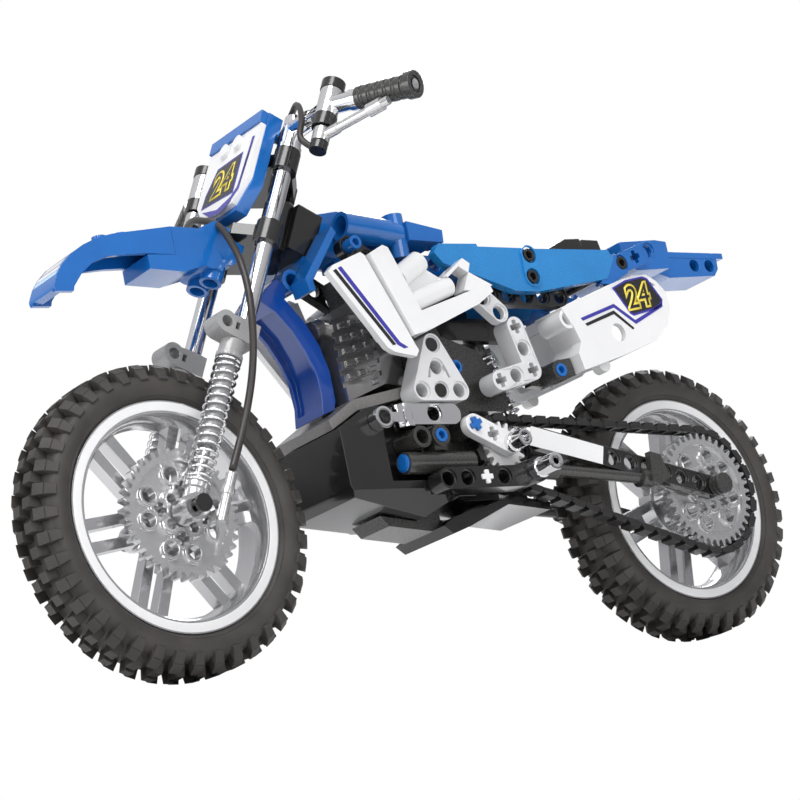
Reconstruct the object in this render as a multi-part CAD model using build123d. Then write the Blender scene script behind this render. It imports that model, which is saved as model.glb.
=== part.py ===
from build123d import *
import os
import math

# Motocross bike model built from 8 mm pitch beams, pins and cross axles.
# Millimetres, +Z up. The bike's nose points along -X, its left side is -Y.
# Working frame: x = 0 at the front axle, z = 0 at the ground. Everything is
# shifted by -ORIGIN_X on export, so the origin is the footprint's centre.
PITCH = 8.0            # hole pitch
HOLE_R = 2.45          # round pin hole
CBORE_R = 3.1          # counterbore of a pin hole
CBORE_D = 0.8
PIN_R = 2.38           # pin shank
AXLE_R = 2.38          # cross axle, over its tips
AXLE_ARM = 1.8         # width of a cross axle's arm
XHOLE_R = 2.5
XHOLE_ARM = 1.9
BEAM_W = 7.4
THICK = 7.8
HALF = 3.8

WHEELBASE = 220.0
TYRE_R = 50.3
TYRE_HALF = 11.0
AXLE_Z = TYRE_R
RIM_R = 37.4
RAKE = math.radians(26.565)
FORK_Y = 16.0
STEM_T = 13.0          # steering axis, behind the fork leg's line
TUBE_T = 2.8
TUBE_R = 2.9
FORK_TRAVEL = 8.0
PIVOT = (128.0, 67.4)  # swingarm pivot and small sprocket
SLOPE = math.radians(13.63)
CHAIN_R1 = 9.35
CHAIN_R2 = 21.4
CHAIN_Y = (-20.2, -14.4)
CHAIN_LINKS = 46
SHOCK_HI = (141.0, 113.0)
TAIL_X = 268.8
ORIGIN_X = (TAIL_X - TYRE_R) / 2.0

os.makedirs("parts", exist_ok=True)
PARTS = {}


# ---------------------------------------------------------------- helpers
def xz(y):
    return Plane(origin=(0, y, 0), x_dir=(1, 0, 0), z_dir=(0, -1, 0))


def slab(sk, y0, y1):
    return extrude(xz(y1) * sk, amount=y1 - y0, dir=(0, -1, 0))


def poly(pts):
    return Polygon(*pts, align=None)


def prism(pts, y0, y1):
    return slab(poly(pts), y0, y1)


def cyl(p, q, r):
    p, q = Vector(*p), Vector(*q)
    d = q - p
    return Part() + Solid.make_cylinder(r, d.length, Plane(origin=p, z_dir=d))


def cone(p, q, r0, r1):
    p, q = Vector(*p), Vector(*q)
    d = q - p
    return Part() + Solid.make_cone(r0, r1, d.length, Plane(origin=p, z_dir=d))


def pipe(p, q, r, ri):
    p, q = Vector(*p), Vector(*q)
    e = (q - p).normalized()
    return cyl(p, q, r) - cyl(p - e, q + e, ri)


def box(x0, x1, y0, y1, z0, z1):
    return Part() + Pos((x0 + x1) / 2, (y0 + y1) / 2, (z0 + z1) / 2) * Box(x1 - x0, y1 - y0, z1 - z0)


def capsule(a, b, w):
    L = math.hypot(b[0] - a[0], b[1] - a[1])
    ang = math.degrees(math.atan2(b[1] - a[1], b[0] - a[0]))
    if L < 1e-6:
        return Pos(a[0], a[1]) * Circle(w / 2)
    return Pos((a[0] + b[0]) / 2, (a[1] + b[1]) / 2) * Rot(0, 0, ang) * SlotCenterToCenter(L, w)


def cross2(r=XHOLE_R, arm=XHOLE_ARM):
    return (Rectangle(2 * r, arm) + Rectangle(arm, 2 * r)) & Circle(r)


def fan(path, w):
    sk = capsule(path[0], path[1], w)
    for a, b in zip(path[1:], path[2:]):
        sk += capsule(a, b, w)
    return sk


def holed(prof, y0, y1, holes=(), cross=(), cb=CBORE_D):
    """Flat piece with counterbored pin holes and cross holes along Y."""
    mid, side = prof, prof
    for h in holes:
        mid = mid - Pos(*h) * Circle(HOLE_R)
        side = side - Pos(*h) * Circle(CBORE_R)
    for c in cross:
        ang = c[2] if len(c) > 2 else 0
        k = Pos(c[0], c[1]) * Rot(0, 0, ang) * cross2()
        mid = mid - k
        side = side - k
    if not holes:
        return slab(mid, y0, y1)
    return slab(side, y0, y0 + cb) + slab(mid, y0 + cb, y1 - cb) + slab(side, y1 - cb, y1)


def beam(a, ang, n, y0, y1, cross=(), w=BEAM_W):
    """n-hole straight beam from hole centre a at angle ang (degrees)."""
    c, s = math.cos(math.radians(ang)), math.sin(math.radians(ang))
    pts = [(a[0] + PITCH * k * c, a[1] + PITCH * k * s) for k in range(n)]
    hs = [p for k, p in enumerate(pts) if k not in cross]
    xs = [(p[0], p[1], ang) for k, p in enumerate(pts) if k in cross]
    return holed(capsule(pts[0], pts[-1], w), y0, y1, hs, xs)


def axle_y(x, z, y0, y1, ang=0):
    return slab(Pos(x, z) * Rot(0, 0, ang) * cross2(AXLE_R, AXLE_ARM), y0, y1)


def pin_y(x, z, y0, y1):
    body = cyl((x, y0, z), (x, y1, z), PIN_R) - cyl((x, y0 - 1, z), (x, y0 + 2.2, z), 1.35)
    return body


def mirror_y(p):
    return mirror(p, about=Plane.XZ)


FD = (math.sin(RAKE), math.cos(RAKE))
FN = (math.cos(RAKE), -math.sin(RAKE))


def F(s, t, y=0.0):
    """Fork frame: s up the leg from the front axle, t rearwards across it."""
    return (s * FD[0] + t * FN[0], y, AXLE_Z + s * FD[1] + t * FN[1])


def fprism(pts, y0, y1):
    """Prism along Y of a polygon given in fork (s, t) coordinates."""
    return prism([(F(s, t)[0], F(s, t)[2]) for s, t in pts], y0, y1)


def fplate(pts, s0, s1):
    """Prism along the fork direction of a polygon given in (t, y)."""
    o = F(s0, 0)
    pl = Plane(origin=o, x_dir=(FN[0], 0, FN[1]), z_dir=(FD[0], 0, FD[1]))
    sk = poly(pts)
    return extrude(pl * sk, amount=s1 - s0, dir=(FD[0], 0, FD[1]))


def solids(p):
    return list(p.solids())


# small pieces of one kind and finish share a node
GROUP = {
    "upper_yoke": "fork_yokes", "lower_yoke": "fork_yokes", "steering_stem": "fork_yokes",
    "fork_slider_left": "fork_sliders", "fork_slider_right": "fork_sliders",
    "fork_spring_left": "fork_springs", "fork_spring_right": "fork_springs",
    "fork_cylinder_left": "fork_cylinders", "fork_cylinder_right": "fork_cylinders",
    "fork_lug_left": "fork_cylinders", "fork_lug_right": "fork_cylinders",
    "fork_tube_left": "fork_tubes", "fork_tube_right": "fork_tubes",
    "handlebar_clamp_left": "handlebar", "handlebar_clamp_right": "handlebar", "handlebar_ends": "handlebar",
    "grip_left": "grips", "grip_right": "grips",
    "reservoir_caps": "reservoir_caps_and_posts", "lever_posts": "reservoir_caps_and_posts",
    "plate_header": "plate_frame", "fender_hinge_block": "fender_bracket",
    "tank_tubes": "tank_top", "tank_mount": "tank_top",
    "tank_side_left": "tank_sides", "tank_side_right": "tank_sides",
    "frame_rail_left": "frame_rails", "frame_rail_right": "frame_rails", "shock_hanger_plates": "frame_rails",
    "seat_panel_left": "seat_panels", "seat_panel_right": "seat_panels", "seat_skins": "seat_panels",
    "tail_beam_left": "tail_beams", "tail_beam_right": "tail_beams", "tail_block": "tail_plate",
    "tail_cross_pins": "black_pins", "shock_upper_pin": "black_pins",
    "shroud_left": "shrouds", "shroud_right": "shrouds",
    "side_cover_left": "side_covers", "side_cover_right": "side_covers",
    "rear_board_left": "rear_boards", "rear_board_right": "rear_boards",
    "board_brackets": "pin_connectors", "carrier_sleeve": "pin_connectors", "oil_drain_block": "pin_connectors",
    "cylinder_head": "cylinder_block", "exhaust_knobs": "cylinder_block",
    "air_box": "gearbox",
    "triangle_arm_left": "triangle_arms", "triangle_arm_right": "triangle_arms",
    "l_arm_left": "l_arms", "l_arm_right": "l_arms", "cover_links": "l_arms",
    "gear_pedal_pin": "foot_pegs", "white_axle_ends": "sprocket_carrier",
    "lower_beam_left": "lower_beams", "lower_beam_right": "lower_beams",
    "swingarm_left": "swingarm_beams", "swingarm_right": "swingarm_beams",
    "swingarm_inner_left": "swingarm_inner_arms", "swingarm_inner_right": "swingarm_inner_arms",
    "swingarm_cross_axle": "swingarm_axles", "shock_lower_axle": "swingarm_axles",
    "swingarm_spacers": "swingarm_braces", "swingarm_struts": "swingarm_braces", "swingarm_bands": "swingarm_braces",
    "rear_axle_bushes": "rear_axle",
}


def put(name, *ps):
    s = PARTS.setdefault(GROUP.get(name, name), [])
    for p in ps:
        s += solids(p)


def gear2(n, m, rot, bore=0.0):
    rp = n * m / 2.0
    ro, rf = rp + m, rp - 1.15 * m
    st = 2 * math.pi / n
    pts = []
    for i in range(n):
        a = math.radians(rot) + i * st
        for r, k in ((rf, -0.30), (ro, -0.13), (ro, 0.13), (rf, 0.30)):
            pts.append((r * math.cos(a + k * st), r * math.sin(a + k * st)))
    return poly(pts)


GEAR_HOLES = [(sx * a, sz * b) for a, b in ((4, 12), (12, 4)) for sx in (-1, 1) for sz in (-1, 1)]
GEAR_CROSS = [(8, 0), (-8, 0), (0, 8), (0, -8)]


def gear40(x, z, y0, y1, rot):
    """Forty-tooth spur gear with a recessed web, bosses and ribs."""
    out = gear2(40, 1.0, 4.5)
    ring = out - Circle(16.9)
    web = Circle(17.0)
    boss = Circle(4.6)
    for h in GEAR_HOLES + [(4, 4), (-4, 4), (4, -4), (-4, -4)]:
        boss += Pos(*h) * Circle(3.35)
    for h in GEAR_CROSS:
        boss += Pos(*h) * Circle(3.5)
    for k in range(8):
        boss += Rot(0, 0, 45 * k + 22.5) * Pos(15.4, 0) * Rectangle(3.6, 1.1)
    cuts = Circle(0.01)
    hole = Sketch() + [Pos(*h) * Circle(HOLE_R) for h in GEAR_HOLES]
    for h in GEAR_CROSS:
        hole += Pos(*h) * cross2(2.45, 1.85)
    hole += cross2()
    small = [Pos(*h) * Circle(1.7) for h in ((4, 4), (-4, 4), (4, -4), (-4, -4))]
    for q in small:
        hole += q
    T = Pos(x, z) * Rot(0, 0, rot)
    return (slab(T * (ring - hole), y0, y1) + slab(T * (web - hole), y0 + 1.0, y1 - 1.0)
            + slab(T * (boss - hole), y0, y1))


def rim(x, rot):
    """Six pairs of parallel spokes in a deep barrel."""
    H = 8.5
    prof = Polygon((RIM_R, -H), (33.4, -H), (32.6, -7.4), (31.4, -3.2), (31.4, 3.2), (32.6, 7.4),
                   (33.4, H), (RIM_R, H), align=None)
    ring = Part() + revolve(prof, Axis.Y, 360)
    hub = cyl((0, -3.4, 0), (0, 3.4, 0), 12.4) + cyl((0, -7.4, 0), (0, 7.4, 0), 5.0)
    sp = Part()
    bar = poly([(8, -1.5), (32, -1.9), (32, 1.9), (8, 1.5)])
    sk = None
    for k in range(6):
        for o in (-3.7, 3.7):
            s = Rot(0, 0, 60 * k + rot) * Pos(0, o) * bar
            sk = s if sk is None else sk + s
    sp = slab(sk, -2.6, 2.6)
    r = ring + hub + sp
    r = r - slab(cross2(), -9, 9)
    for k in range(6):
        a = math.radians(60 * k + rot + 30)
        r = r - cyl((8.6 * math.cos(a), -9, 8.6 * math.sin(a)), (8.6 * math.cos(a), 9, 8.6 * math.sin(a)), HOLE_R)
    return Pos(x, 0, AXLE_Z) * r


def tyre(x):
    """Carcass with the envelope of its knobs."""
    h = TYRE_HALF
    prof = Polygon((RIM_R + 0.05, -8.0), (39.0, -9.7), (42.5, -h), (45.0, -10.9), (47.6, -9.4), (49.6, -6.8),
                   (TYRE_R, -5.0), (TYRE_R, 5.0), (49.6, 6.8), (47.6, 9.4), (45.0, 10.9), (42.5, h),
                   (39.0, 9.7), (RIM_R + 0.05, 8.0), align=None)
    return Pos(x, 0, AXLE_Z) * (Part() + revolve(prof, Axis.Y, 360))


# ---------------------------------------------------------------- wheels
put("front_tyre", tyre(0))
put("front_rim", rim(0, 8))
put("front_brake_disc", gear40(0, AXLE_Z, -11.2, -7.4, -10.2))
put("front_axle", axle_y(0, AXLE_Z, -22.6, 22.6, -10.2) + cyl((0, -23.8, AXLE_Z), (0, -22.6, AXLE_Z), 2.9)
    + cyl((0, 22.6, AXLE_Z), (0, 23.8, AXLE_Z), 2.9))
RX = WHEELBASE
put("rear_tyre", tyre(RX))
put("rear_rim", rim(RX, 20))
put("rear_sprocket", gear40(RX, AXLE_Z, -19.9, -16.1, -34))
put("rear_axle", axle_y(RX, AXLE_Z, -27.0, 27.0, -34))


def bush(x, z, y0, y1, r=3.7):
    b = cyl((x, y0, z), (x, y1, z), 3.0)
    n = 3
    w = (y1 - y0) / (2 * n - 1)
    for k in range(n):
        b += cyl((x, y0 + 2 * k * w, z), (x, y0 + (2 * k + 1) * w, z), r)
    return b


rear_bushes = Part()
put("rear_axle_bushes",
    bush(RX, AXLE_Z, -29.0, -24.4) - slab(Pos(RX, AXLE_Z) * Rot(0, 0, -34) * cross2(), -27.4, -20),
    bush(RX, AXLE_Z, 24.4, 29.0) - slab(Pos(RX, AXLE_Z) * Rot(0, 0, -34) * cross2(), 20, 27.4),
    pipe((RX, -15.9, AXLE_Z), (RX, -7.6, AXLE_Z), 3.6, 2.5),
    pipe((RX, 7.6, AXLE_Z), (RX, 19.8, AXLE_Z), 3.6, 2.5))


# ---------------------------------------------------------------- fork
def slider(sy):
    y = FORK_Y * sy
    eye = cyl((0, y - 4, AXLE_Z), (0, y + 4, AXLE_Z), 4.4)
    neck = cyl(F(1.5, 0, y), F(8.0, 0, y), 3.5)
    seat = cyl(F(6.4, 0, y), F(8.0, 0, y), 4.4)
    rod = cyl(F(7.0, 0, y), F(50, 0, y), 1.6)
    s = eye + neck + seat + rod
    if sy < 0:
        # brake hose fitting beside the foot
        s += cyl((11.6, -24.0, 58.8), (4.4, -24.0, 43.8), 1.8) + cyl((9.4, -24.0, 54.2), (8.4, -24.0, 52.2), 2.3)
        s += box(3.2, 6.8, -24.0, -19.6, 44.6, 47.8)
        s += prism([(6.2, 44.8), (4.4, 39.5), (0.9, 33.2), (0.2, 33.6), (2.6, 40.0), (3.2, 45.2)], -24.8, -23.2)
    return s - cyl((0, y - 9, AXLE_Z), (0, y + 9, AXLE_Z), 2.46)


def shock_body(sy):
    y = FORK_Y * sy
    b = cyl(F(22, 0, y), F(60.4, 0, y), 3.0) + cyl(F(54.0, 0, y), F(55.6, 0, y), 4.4)
    b += cyl(F(55.6, 0, y), F(60.4, 0, y), 4.0)
    b -= cyl(F(20, 0, y), F(59.0, 0, y), 1.75)
    return b


def lug(sy):
    y = FORK_Y * sy
    y0, y1 = y - 4, y + 4
    b = fprism([(60.6, -5.4), (60.6, 6.4), (68.4, 6.4), (68.4, 1.0), (67.4, -5.4)], y0, y1)
    b += cyl(F(64.4, -5.6, y0), F(64.4, -5.6, y1), 3.8)
    b -= cyl(F(64.4, -5.6, y0 - 1), F(64.4, -5.6, y1 + 1), 1.95)
    b -= cyl(F(61.6, TUBE_T, y), F(70, TUBE_T, y), TUBE_R + 0.03)
    b -= fprism([(63.2, -2.3), (63.2, -0.9), (65.8, -0.9), (65.8, -2.3)], y0 - 1, y1 + 1)
    return b


for sd, sy in (("left", -1), ("right", 1)):
    y = FORK_Y * sy
    put("fork_slider_" + sd, slider(sy))
    put("fork_spring_" + sd, pipe(F(8.25, 0, y), F(53.75, 0, y), 4.4, 3.4))
    put("fork_cylinder_" + sd, shock_body(sy))
    put("fork_lug_" + sd, lug(sy))
    tube = cyl(F(61.7, TUBE_T, y), F(141.0, TUBE_T, y), TUBE_R)
    put("fork_tube_" + sd, tube)


def yoke(s0, s1, front, w0=1.4, w1=1.4):
    out = None
    for sy in (-1, 1):
        y = FORK_Y * sy
        c = cyl(F(s0, TUBE_T, y), F(s1, TUBE_T, y), 4.4)
        out = c if out is None else out + c
    # web joining both legs and the stem
    sa, sb = s0 + w0, s1 - w1
    out += fplate([(-1.0, -16), (-1.0, 16), (6.0, 16), (STEM_T + 2.0, 4.4), (STEM_T + 2.0, -4.4), (6.0, -16)], sa, sb)
    out += cyl(F(sa, STEM_T), F(sb, STEM_T), 4.4)
    if front:
        out += fplate([(-6.5, -8), (-6.5, 8), (0.0, 14), (0.0, -14)], sa, sb)
    for sy in (-1, 1):
        y = FORK_Y * sy
        out -= cyl(F(s0 - 1, TUBE_T, y), F(s1 + 1, TUBE_T, y), TUBE_R + 0.03)
    out -= cyl(F(s0 - 1, STEM_T), F(s1 + 1, STEM_T), 2.45)
    return out


put("upper_yoke", yoke(129.0, 137.0, True))
put("lower_yoke", yoke(100.0, 108.0, True, 3.0, 0.8))
put("steering_stem", cyl(F(103.0, STEM_T), F(136.2, STEM_T), 2.4))

# handlebar: tees on the fork tops, bars, clamps, levers, grips
BAR0 = Vector(66.1, -39.0, 179.1)
BARD = Vector(10.0, -31.5, -5.2).normalized()


def bar_pt(d):
    return BAR0 + BARD * d


def tee():
    y = -FORK_Y
    top = F(146.0, TUBE_T, y)
    t = cyl(F(138.2, TUBE_T, y), F(150.5, TUBE_T, y), 3.75)
    t += cyl(F(137.4, TUBE_T, y), F(139.0, TUBE_T, y), 4.2)
    t += cyl(top, (66.9, -27.5, 179.3), 3.3)
    t -= cyl(F(137.0, TUBE_T, y), F(141.2, TUBE_T, y), TUBE_R + 0.03)
    return t


def bar_link():
    p, q = Vector(66.9, -27.5, 179.3), Vector(66.3, -36.0, 179.2)
    e = (q - p).normalized()
    b = cyl(p, q, 1.7)
    for dx, dz in ((0, 1.9), (0, -1.9), (1.7, 0), (-1.7, 0)):
        o = Vector(dx, 0, dz)
        b += cyl(p + o, q + o, 0.95)
    return b


def perch():
    p = cyl(F(140.2, 1.4, -39.0), F(150.2, 1.4, -39.0), 3.75)
    p += cyl(bar_pt(0), bar_pt(12.2), 3.2)
    p += cyl(bar_pt(9.5), bar_pt(12.2), 3.7)
    return p


def bar_core():
    return cyl(bar_pt(12.2), bar_pt(34.4), 1.8)


def grip():
    g = cyl(bar_pt(12.4), bar_pt(34.6), 3.5)
    for k in range(6):
        g += cyl(bar_pt(12.4 + 3.2 * k), bar_pt(14.3 + 3.2 * k), 3.95)
    g += cyl(bar_pt(31.6), bar_pt(34.6), 4.6)
    g -= cyl(bar_pt(12.0), bar_pt(36), 1.85)
    g -= cyl(bar_pt(33.4), bar_pt(36), 2.9)
    return g


LEV_A = Vector(*F(131.9, 1.4, -39.0))
LEV_B = Vector(69.4, -65.0, 170.4)


def perch_low():
    # black bush and pivot post that carry the lever
    b = cyl(F(135.2, 1.4, -39.0), F(140.0, 1.4, -39.0), 3.9)
    b += cyl(F(128.2, 1.4, -39.0), F(136.0, 1.4, -39.0), 1.7)
    b += cyl(F(126.2, 1.4, -39.0), F(129.1, 1.4, -39.0), 2.9)
    return b


def lever():
    k = cyl(F(129.6, 1.4, -39.0), F(134.6, 1.4, -39.0), 3.0)
    e = (LEV_B - LEV_A).normalized()
    b = cyl(LEV_A + e * 2.0, LEV_B, 1.55)
    b += cyl(LEV_A + e * 2.6, LEV_A + e * 7.0, 1.9)
    b += cyl(LEV_B - e * 8.0, LEV_B - e * 2.5, 2.3)
    k = k + b
    return k - cyl(F(128.0, 1.4, -39.0), F(137.0, 1.4, -39.0), 1.78)


tee_l, link_l, perch_l, core_l = tee(), bar_link(), perch(), bar_core()
put("handlebar", tee_l + link_l, mirror_y(tee_l + link_l))
put("handlebar_clamp_left", perch_l)
put("handlebar_clamp_right", mirror_y(perch_l))
g = grip()
put("grip_left", g)
put("grip_right", mirror_y(g))
put("handlebar_ends", core_l, mirror_y(core_l))
cap = cyl(F(150.4, 1.4, -39.0), F(154.0, 1.4, -39.0), 4.0)
low = perch_low()
put("reservoir_caps", cap, mirror_y(cap))
put("lever_posts", low, mirror_y(low))
lv = lever()
put("clutch_lever", lv)
put("brake_lever", mirror_y(lv))

# number plate: a blue backing frame and a white face
plate_out = [(148.0, -16), (148.0, 16), (121.0, 16), (112.5, 9.5), (112.5, -9.5), (121.0, -16)]


def splate(pts, t0, t1):
    """Prism across the fork of a polygon given in (s, y)."""
    o = F(0, t0)
    pl = Plane(origin=o, x_dir=(FD[0], 0, FD[1]), z_dir=(-FN[0], 0, -FN[1]))
    # local x -> s, local y -> z_dir x x_dir
    yd = pl.y_dir
    sg = 1 if yd.Y > 0 else -1
    return extrude(pl * poly([(s, sg * y) for s, y in pts]), amount=t0 - t1, dir=(-FN[0], 0, -FN[1]))


back = splate([(148.2, -15.8), (148.2, 15.8), (120.0, 15.8), (111.0, 9.4), (111.0, -9.4), (120.0, -15.8)], -3.0, -7.4)
back -= splate([(127.5, -12.5), (127.5, 12.5), (117.5, 12.5), (117.5, -12.5)], -2.0, -5.4)
back += splate([(141.5, -15.8), (141.5, 15.8), (148.2, 15.8), (148.2, -15.8)], -0.4, -3.2)
back -= fplate([(-9, -20.5), (-9, -12.9), (8, -12.9), (8, -20.5)], 128.0, 150.0) & fplate([(-1.8, -20.5), (-1.8, -10.9), (8, -10.9), (8, -20.5)], 128.0, 150.0)
back -= fplate([(-1.8, 20.5), (-1.8, 10.9), (8, 10.9), (8, 20.5)], 128.0, 150.0)
put("plate_frame", back)
face = splate([(143.0, -15.6), (143.0, 15.6), (121.4, 15.6), (113.0, 9.2), (113.0, -9.2), (121.4, -15.6)], -7.4, -9.4)
top = splate([(148.0, -15.6), (148.0, 15.6), (143.2, 15.6), (143.2, -15.6)], -7.4, -10.2)
studs = Part()
for y in (-4.0, 4.0):
    studs += cyl(F(139.6, -9.0, y), F(139.6, -11.0, y), 2.45)
put("number_plate", face + studs)
put("plate_header", top)

# front fender: curved two-piece arm ahead of the fork
fo = [(-30.1, 124.0), (-30.1, 125.1), (-28.4, 128.8), (-26.0, 132.2), (-22.4, 135.6), (-17.1, 139.0), (-11.1, 141.7), (-5.7, 143.1), (-0.7, 143.9), (8.0, 145.2), (17.0, 146.6)]
fi = [(17.0, 137.0), (5.5, 136.9), (-1.3, 136.4), (-8.8, 135.4), (-14.8, 133.0), (-19.1, 129.6), (-22.8, 125.0), (-23.3, 123.4), (-29.8, 123.2)]
sidewall = poly(fo + fi)
skin = poly(fo + [(17.0, 143.2), (7.8, 141.9), (-0.2, 140.7), (-5.2, 139.9), (-9.8, 138.5), (-15.2, 136.1), (-19.9, 133.0), (-23.2, 129.9), (-25.3, 127.0), (-26.6, 124.6), (-26.8, 123.6)])
fend = slab(skin, -8, 8) + slab(sidewall, -8, -6.2) + slab(sidewall, 6.2, 8)
fend += cyl((2.5, 0, 143), (2.5, 0, 146.2), 2.45) + cyl((-5.5, 0, 141.5), (-5.5, 0, 144.9), 2.45)
put("front_fender", fend)
fb = [(17.2, 146.6), (17.2, 137.0), (6.5, 136.6), (6.5, 131.8), (19.5, 131.2), (29.3, 134.0), (34.0, 131.5), (37.5, 136.0), (33.0, 141.5), (30.0, 146.4)]
fm = prism(fb, -7.9, 7.9)
fm -= prism([(8.0, 136.0), (8.0, 133.2), (26.0, 133.0), (26.0, 136.2)], -6.2, 6.2)
fm += cyl((31.0, -8.0, 136.5), (31.0, 8.0, 136.5), 3.9)
put("fender_hinge_block", fm)
# bracket that carries the fender block on the lower yoke
fk = fprism([(104.4, -6.7), (104.4, -13.0), (99.0, -17.6), (92.0, -17.0), (88.5, -9.0), (93.0, -2.0), (98.5, -0.2), (101.2, -0.2), (101.2, -6.7)], -7.6, 7.6)
fk -= cyl((31.0, -9.0, 136.5), (31.0, 9.0, 136.5), 4.0)
fk -= prism(fb, -8.2, 8.2)
fk += cyl(F(84.5, -7.0, -3.8), F(91.0, -7.0, -3.8), 3.7)
fk += cyl(F(84.5, -7.0, 4.2), F(91.0, -7.0, 4.2), 3.7)
fk -= cyl(F(83.5, -7.0, -3.8), F(88.0, -7.0, -3.8), HOLE_R)
fk -= cyl(F(83.5, -7.0, 4.2), F(88.0, -7.0, 4.2), HOLE_R)
put("fender_bracket", fk)

# brake hose, held at the clamp and at the fork foot
HOSE_R = 1.25
hose_pts = [(57.8, 38.4, 164.2), (50.8, 28.5, 162.6), (44.4, 17.4, 159.2), (40.9, 10.8, 157.0), (38.6, 4.0, 154.0), (37.2, -3.2, 150.6),
            (35.4, -10.4, 145.3), (33.7, -16.4, 138.0), (32.3, -21.0, 130.5), (31.2, -23.8, 121.5), (29.7, -25.2, 111.6),
            (27.9, -25.4, 100.6), (25.4, -25.0, 90.3), (21.8, -24.4, 80.0), (17.4, -24.0, 70.2), (12.2, -24.0, 60.2)]
# clutch cable from the left lever over the top of the plate frame
cable_pts = [(57.2, -37.6, 164.2), (55.4, -34.6, 169.0), (58.8, -32.8, 176.4), (62.6, -28.4, 182.8), (66.4, -22.0, 186.6), (69.0, -15.4, 186.2),
             (68.6, -10.6, 182.4), (65.6, -8.8, 178.2)]


def tube_path(pts):
    n = len(pts)
    P = [Vector(*p) for p in pts]
    rad, length = [], 0.0
    for i in range(1, n - 1):
        a, b = P[i] - P[i - 1], P[i + 1] - P[i]
        turn = math.radians(a.get_angle(b))
        r = 0.45 * min(a.length, b.length) / math.tan(turn / 2)
        rad.append(r)
    for i in range(n - 1):
        length += (P[i + 1] - P[i]).length
    for i in range(1, n - 1):
        a, b = P[i] - P[i - 1], P[i + 1] - P[i]
        turn = math.radians(a.get_angle(b))
        length += rad[i - 1] * turn - 2 * rad[i - 1] * math.tan(turn / 2)
    return FilletPolyline(*pts, radius=rad), rad, length


def hose_solid(pts, r):
    path, rad, length = tube_path(pts)
    sec = Plane(origin=path @ 0, z_dir=path % 0) * Circle(r)
    s = sweep(sec, path=path)
    vol = sum(q.volume for q in s.solids())
    print("hose radii", [round(q, 1) for q in rad], "length", round(length, 1),
          "volume ratio", round(vol / (math.pi * r * r * length), 4))
    return s


put("brake_hose", hose_solid(hose_pts, HOSE_R), hose_solid(cable_pts, 1.1))

# ---------------------------------------------------------------- head and tank
hb = cyl(F(109.0, STEM_T), F(127.6, STEM_T), 5.4)
hb += fprism([(109.6, 15.5), (109.6, 25.5), (127.2, 25.5), (127.2, 15.5)], -7.8, 7.8)
hb -= cyl(F(107.0, STEM_T), F(130.0, STEM_T), 2.46)
put("steering_head", hb)

tank = []
core = prism([(74.5, 148.5), (77.0, 153.6), (86.0, 155.2), (96.0, 153.6), (111.0, 150.2), (123.4, 147.0), (122.6, 142.6), (104.0, 142.8), (84.0, 143.2)], -7.6, 7.6)
core -= prism([(88.0, 149.5), (88.0, 145.5), (104.0, 145.5), (104.0, 148.5)], -9, 9)
core -= cyl((84.5, 0, 148), (84.5, 0, 157), 2.45)
put("tank_top", core)
tub = None
for sy in (-1, 1):
    y = 13.0 * sy
    t = cyl((82.0, y, 147.6), (101.5, y, 145.6), 5.0) - cyl((81.0, y, 147.7), (88.0, y, 147.0), 3.6)
    t += cyl((105.3, y, 152.2), (105.3, y, 136.4), 3.6)
    t += cyl((101.0, y, 145.6), (106, y, 145.2), 4.4)
    t += prism([(107.5, 149.0), (122.8, 146.4), (122.4, 141.8), (107.5, 142.2)], min(y - 4.4, y + 4.4), max(y - 4.4, y + 4.4))
    tub = [t] if tub is None else tub + [t]
put("tank_tubes", *tub)


def tank_side():
    out = [(74.4, 145.6), (79.4, 147.8), (87.6, 138.6), (84.6, 134.2), (79.4, 135.4), (70.2, 119.4), (64.6, 118.2), (60.4, 122.0), (59.6, 126.8), (66.0, 132.0)]
    p = holed(poly(out), -21.6, -17.8, [(77.0, 143.6), (80.6, 138.8)])
    p += cyl((77.0, -21.8, 143.6), (77.0, -13.6, 143.6), 3.7) - cyl((77.0, -25, 143.6), (77.0, -10, 143.6), HOLE_R)
    p += prism([(60.4, 122.0), (59.6, 126.8), (74.4, 145.6), (76.0, 143.4), (62.6, 126.0), (63.0, 122.6)], -17.9, -9.0)
    return p


ts = tank_side()
put("tank_side_left", ts)
put("tank_side_right", mirror_y(ts))
hs = None
for sy in (-1, 1):
    p = prism([(68.2, 139.6), (66.4, 146.4), (73.4, 149.8), (84.2, 143.0), (82.5, 138.0)], -7.6, 7.6)
    break
lowt = cyl((61.5, -8.2, 129.3), (61.5, 8.2, 129.3), 3.9) - cyl((61.5, -9.2, 129.3), (61.5, 9.2, 129.3), HOLE_R)
lowt += prism([(64.4, 132.6), (64.8, 127.6), (71.0, 131.6), (71.6, 139.9), (69.6, 139.9)], -7.6, 7.6)
put("tank_mount", p + lowt)

# curved mud guard between the front wheel and the engine
go = [(50.6, 126.4), (57.2, 122.6), (63.2, 115.2), (67.6, 107.0), (69.9, 98.0), (70.0, 87.5), (68.8, 84.4)]
gi = [(63.6, 82.6), (64.6, 89.5), (64.0, 97.5), (61.6, 104.5), (57.8, 111.6), (52.6, 118.0), (46.6, 122.0)]
mg = prism(go + gi, -8, 8)
mg2 = prism([(47.5, 122.3), (52.8, 119.0), (58.6, 112.4), (62.8, 104.6), (64.8, 97.4), (64.9, 89.0), (63.6, 82.6),
             (63.2, 82.0), (62.6, 89.4), (62.0, 97.0), (60.4, 103.6), (56.6, 110.6), (51.6, 116.6), (45.8, 120.4)], -8, -6.4)
mg = mg - prism([(54.4, 119.9), (60.0, 113.2), (64.0, 105.2), (66.0, 97.6), (66.2, 89.0), (65.6, 85.8), (61.0, 86.0), (60.0, 98.0), (55.0, 108.0), (49.0, 117.0)], -6.4, 6.4)
put("mud_guard", mg + prism([(50.6, 126.4), (57.2, 122.6), (59.4, 127.6), (55.4, 130.0)], -7.6, 7.6))

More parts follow.
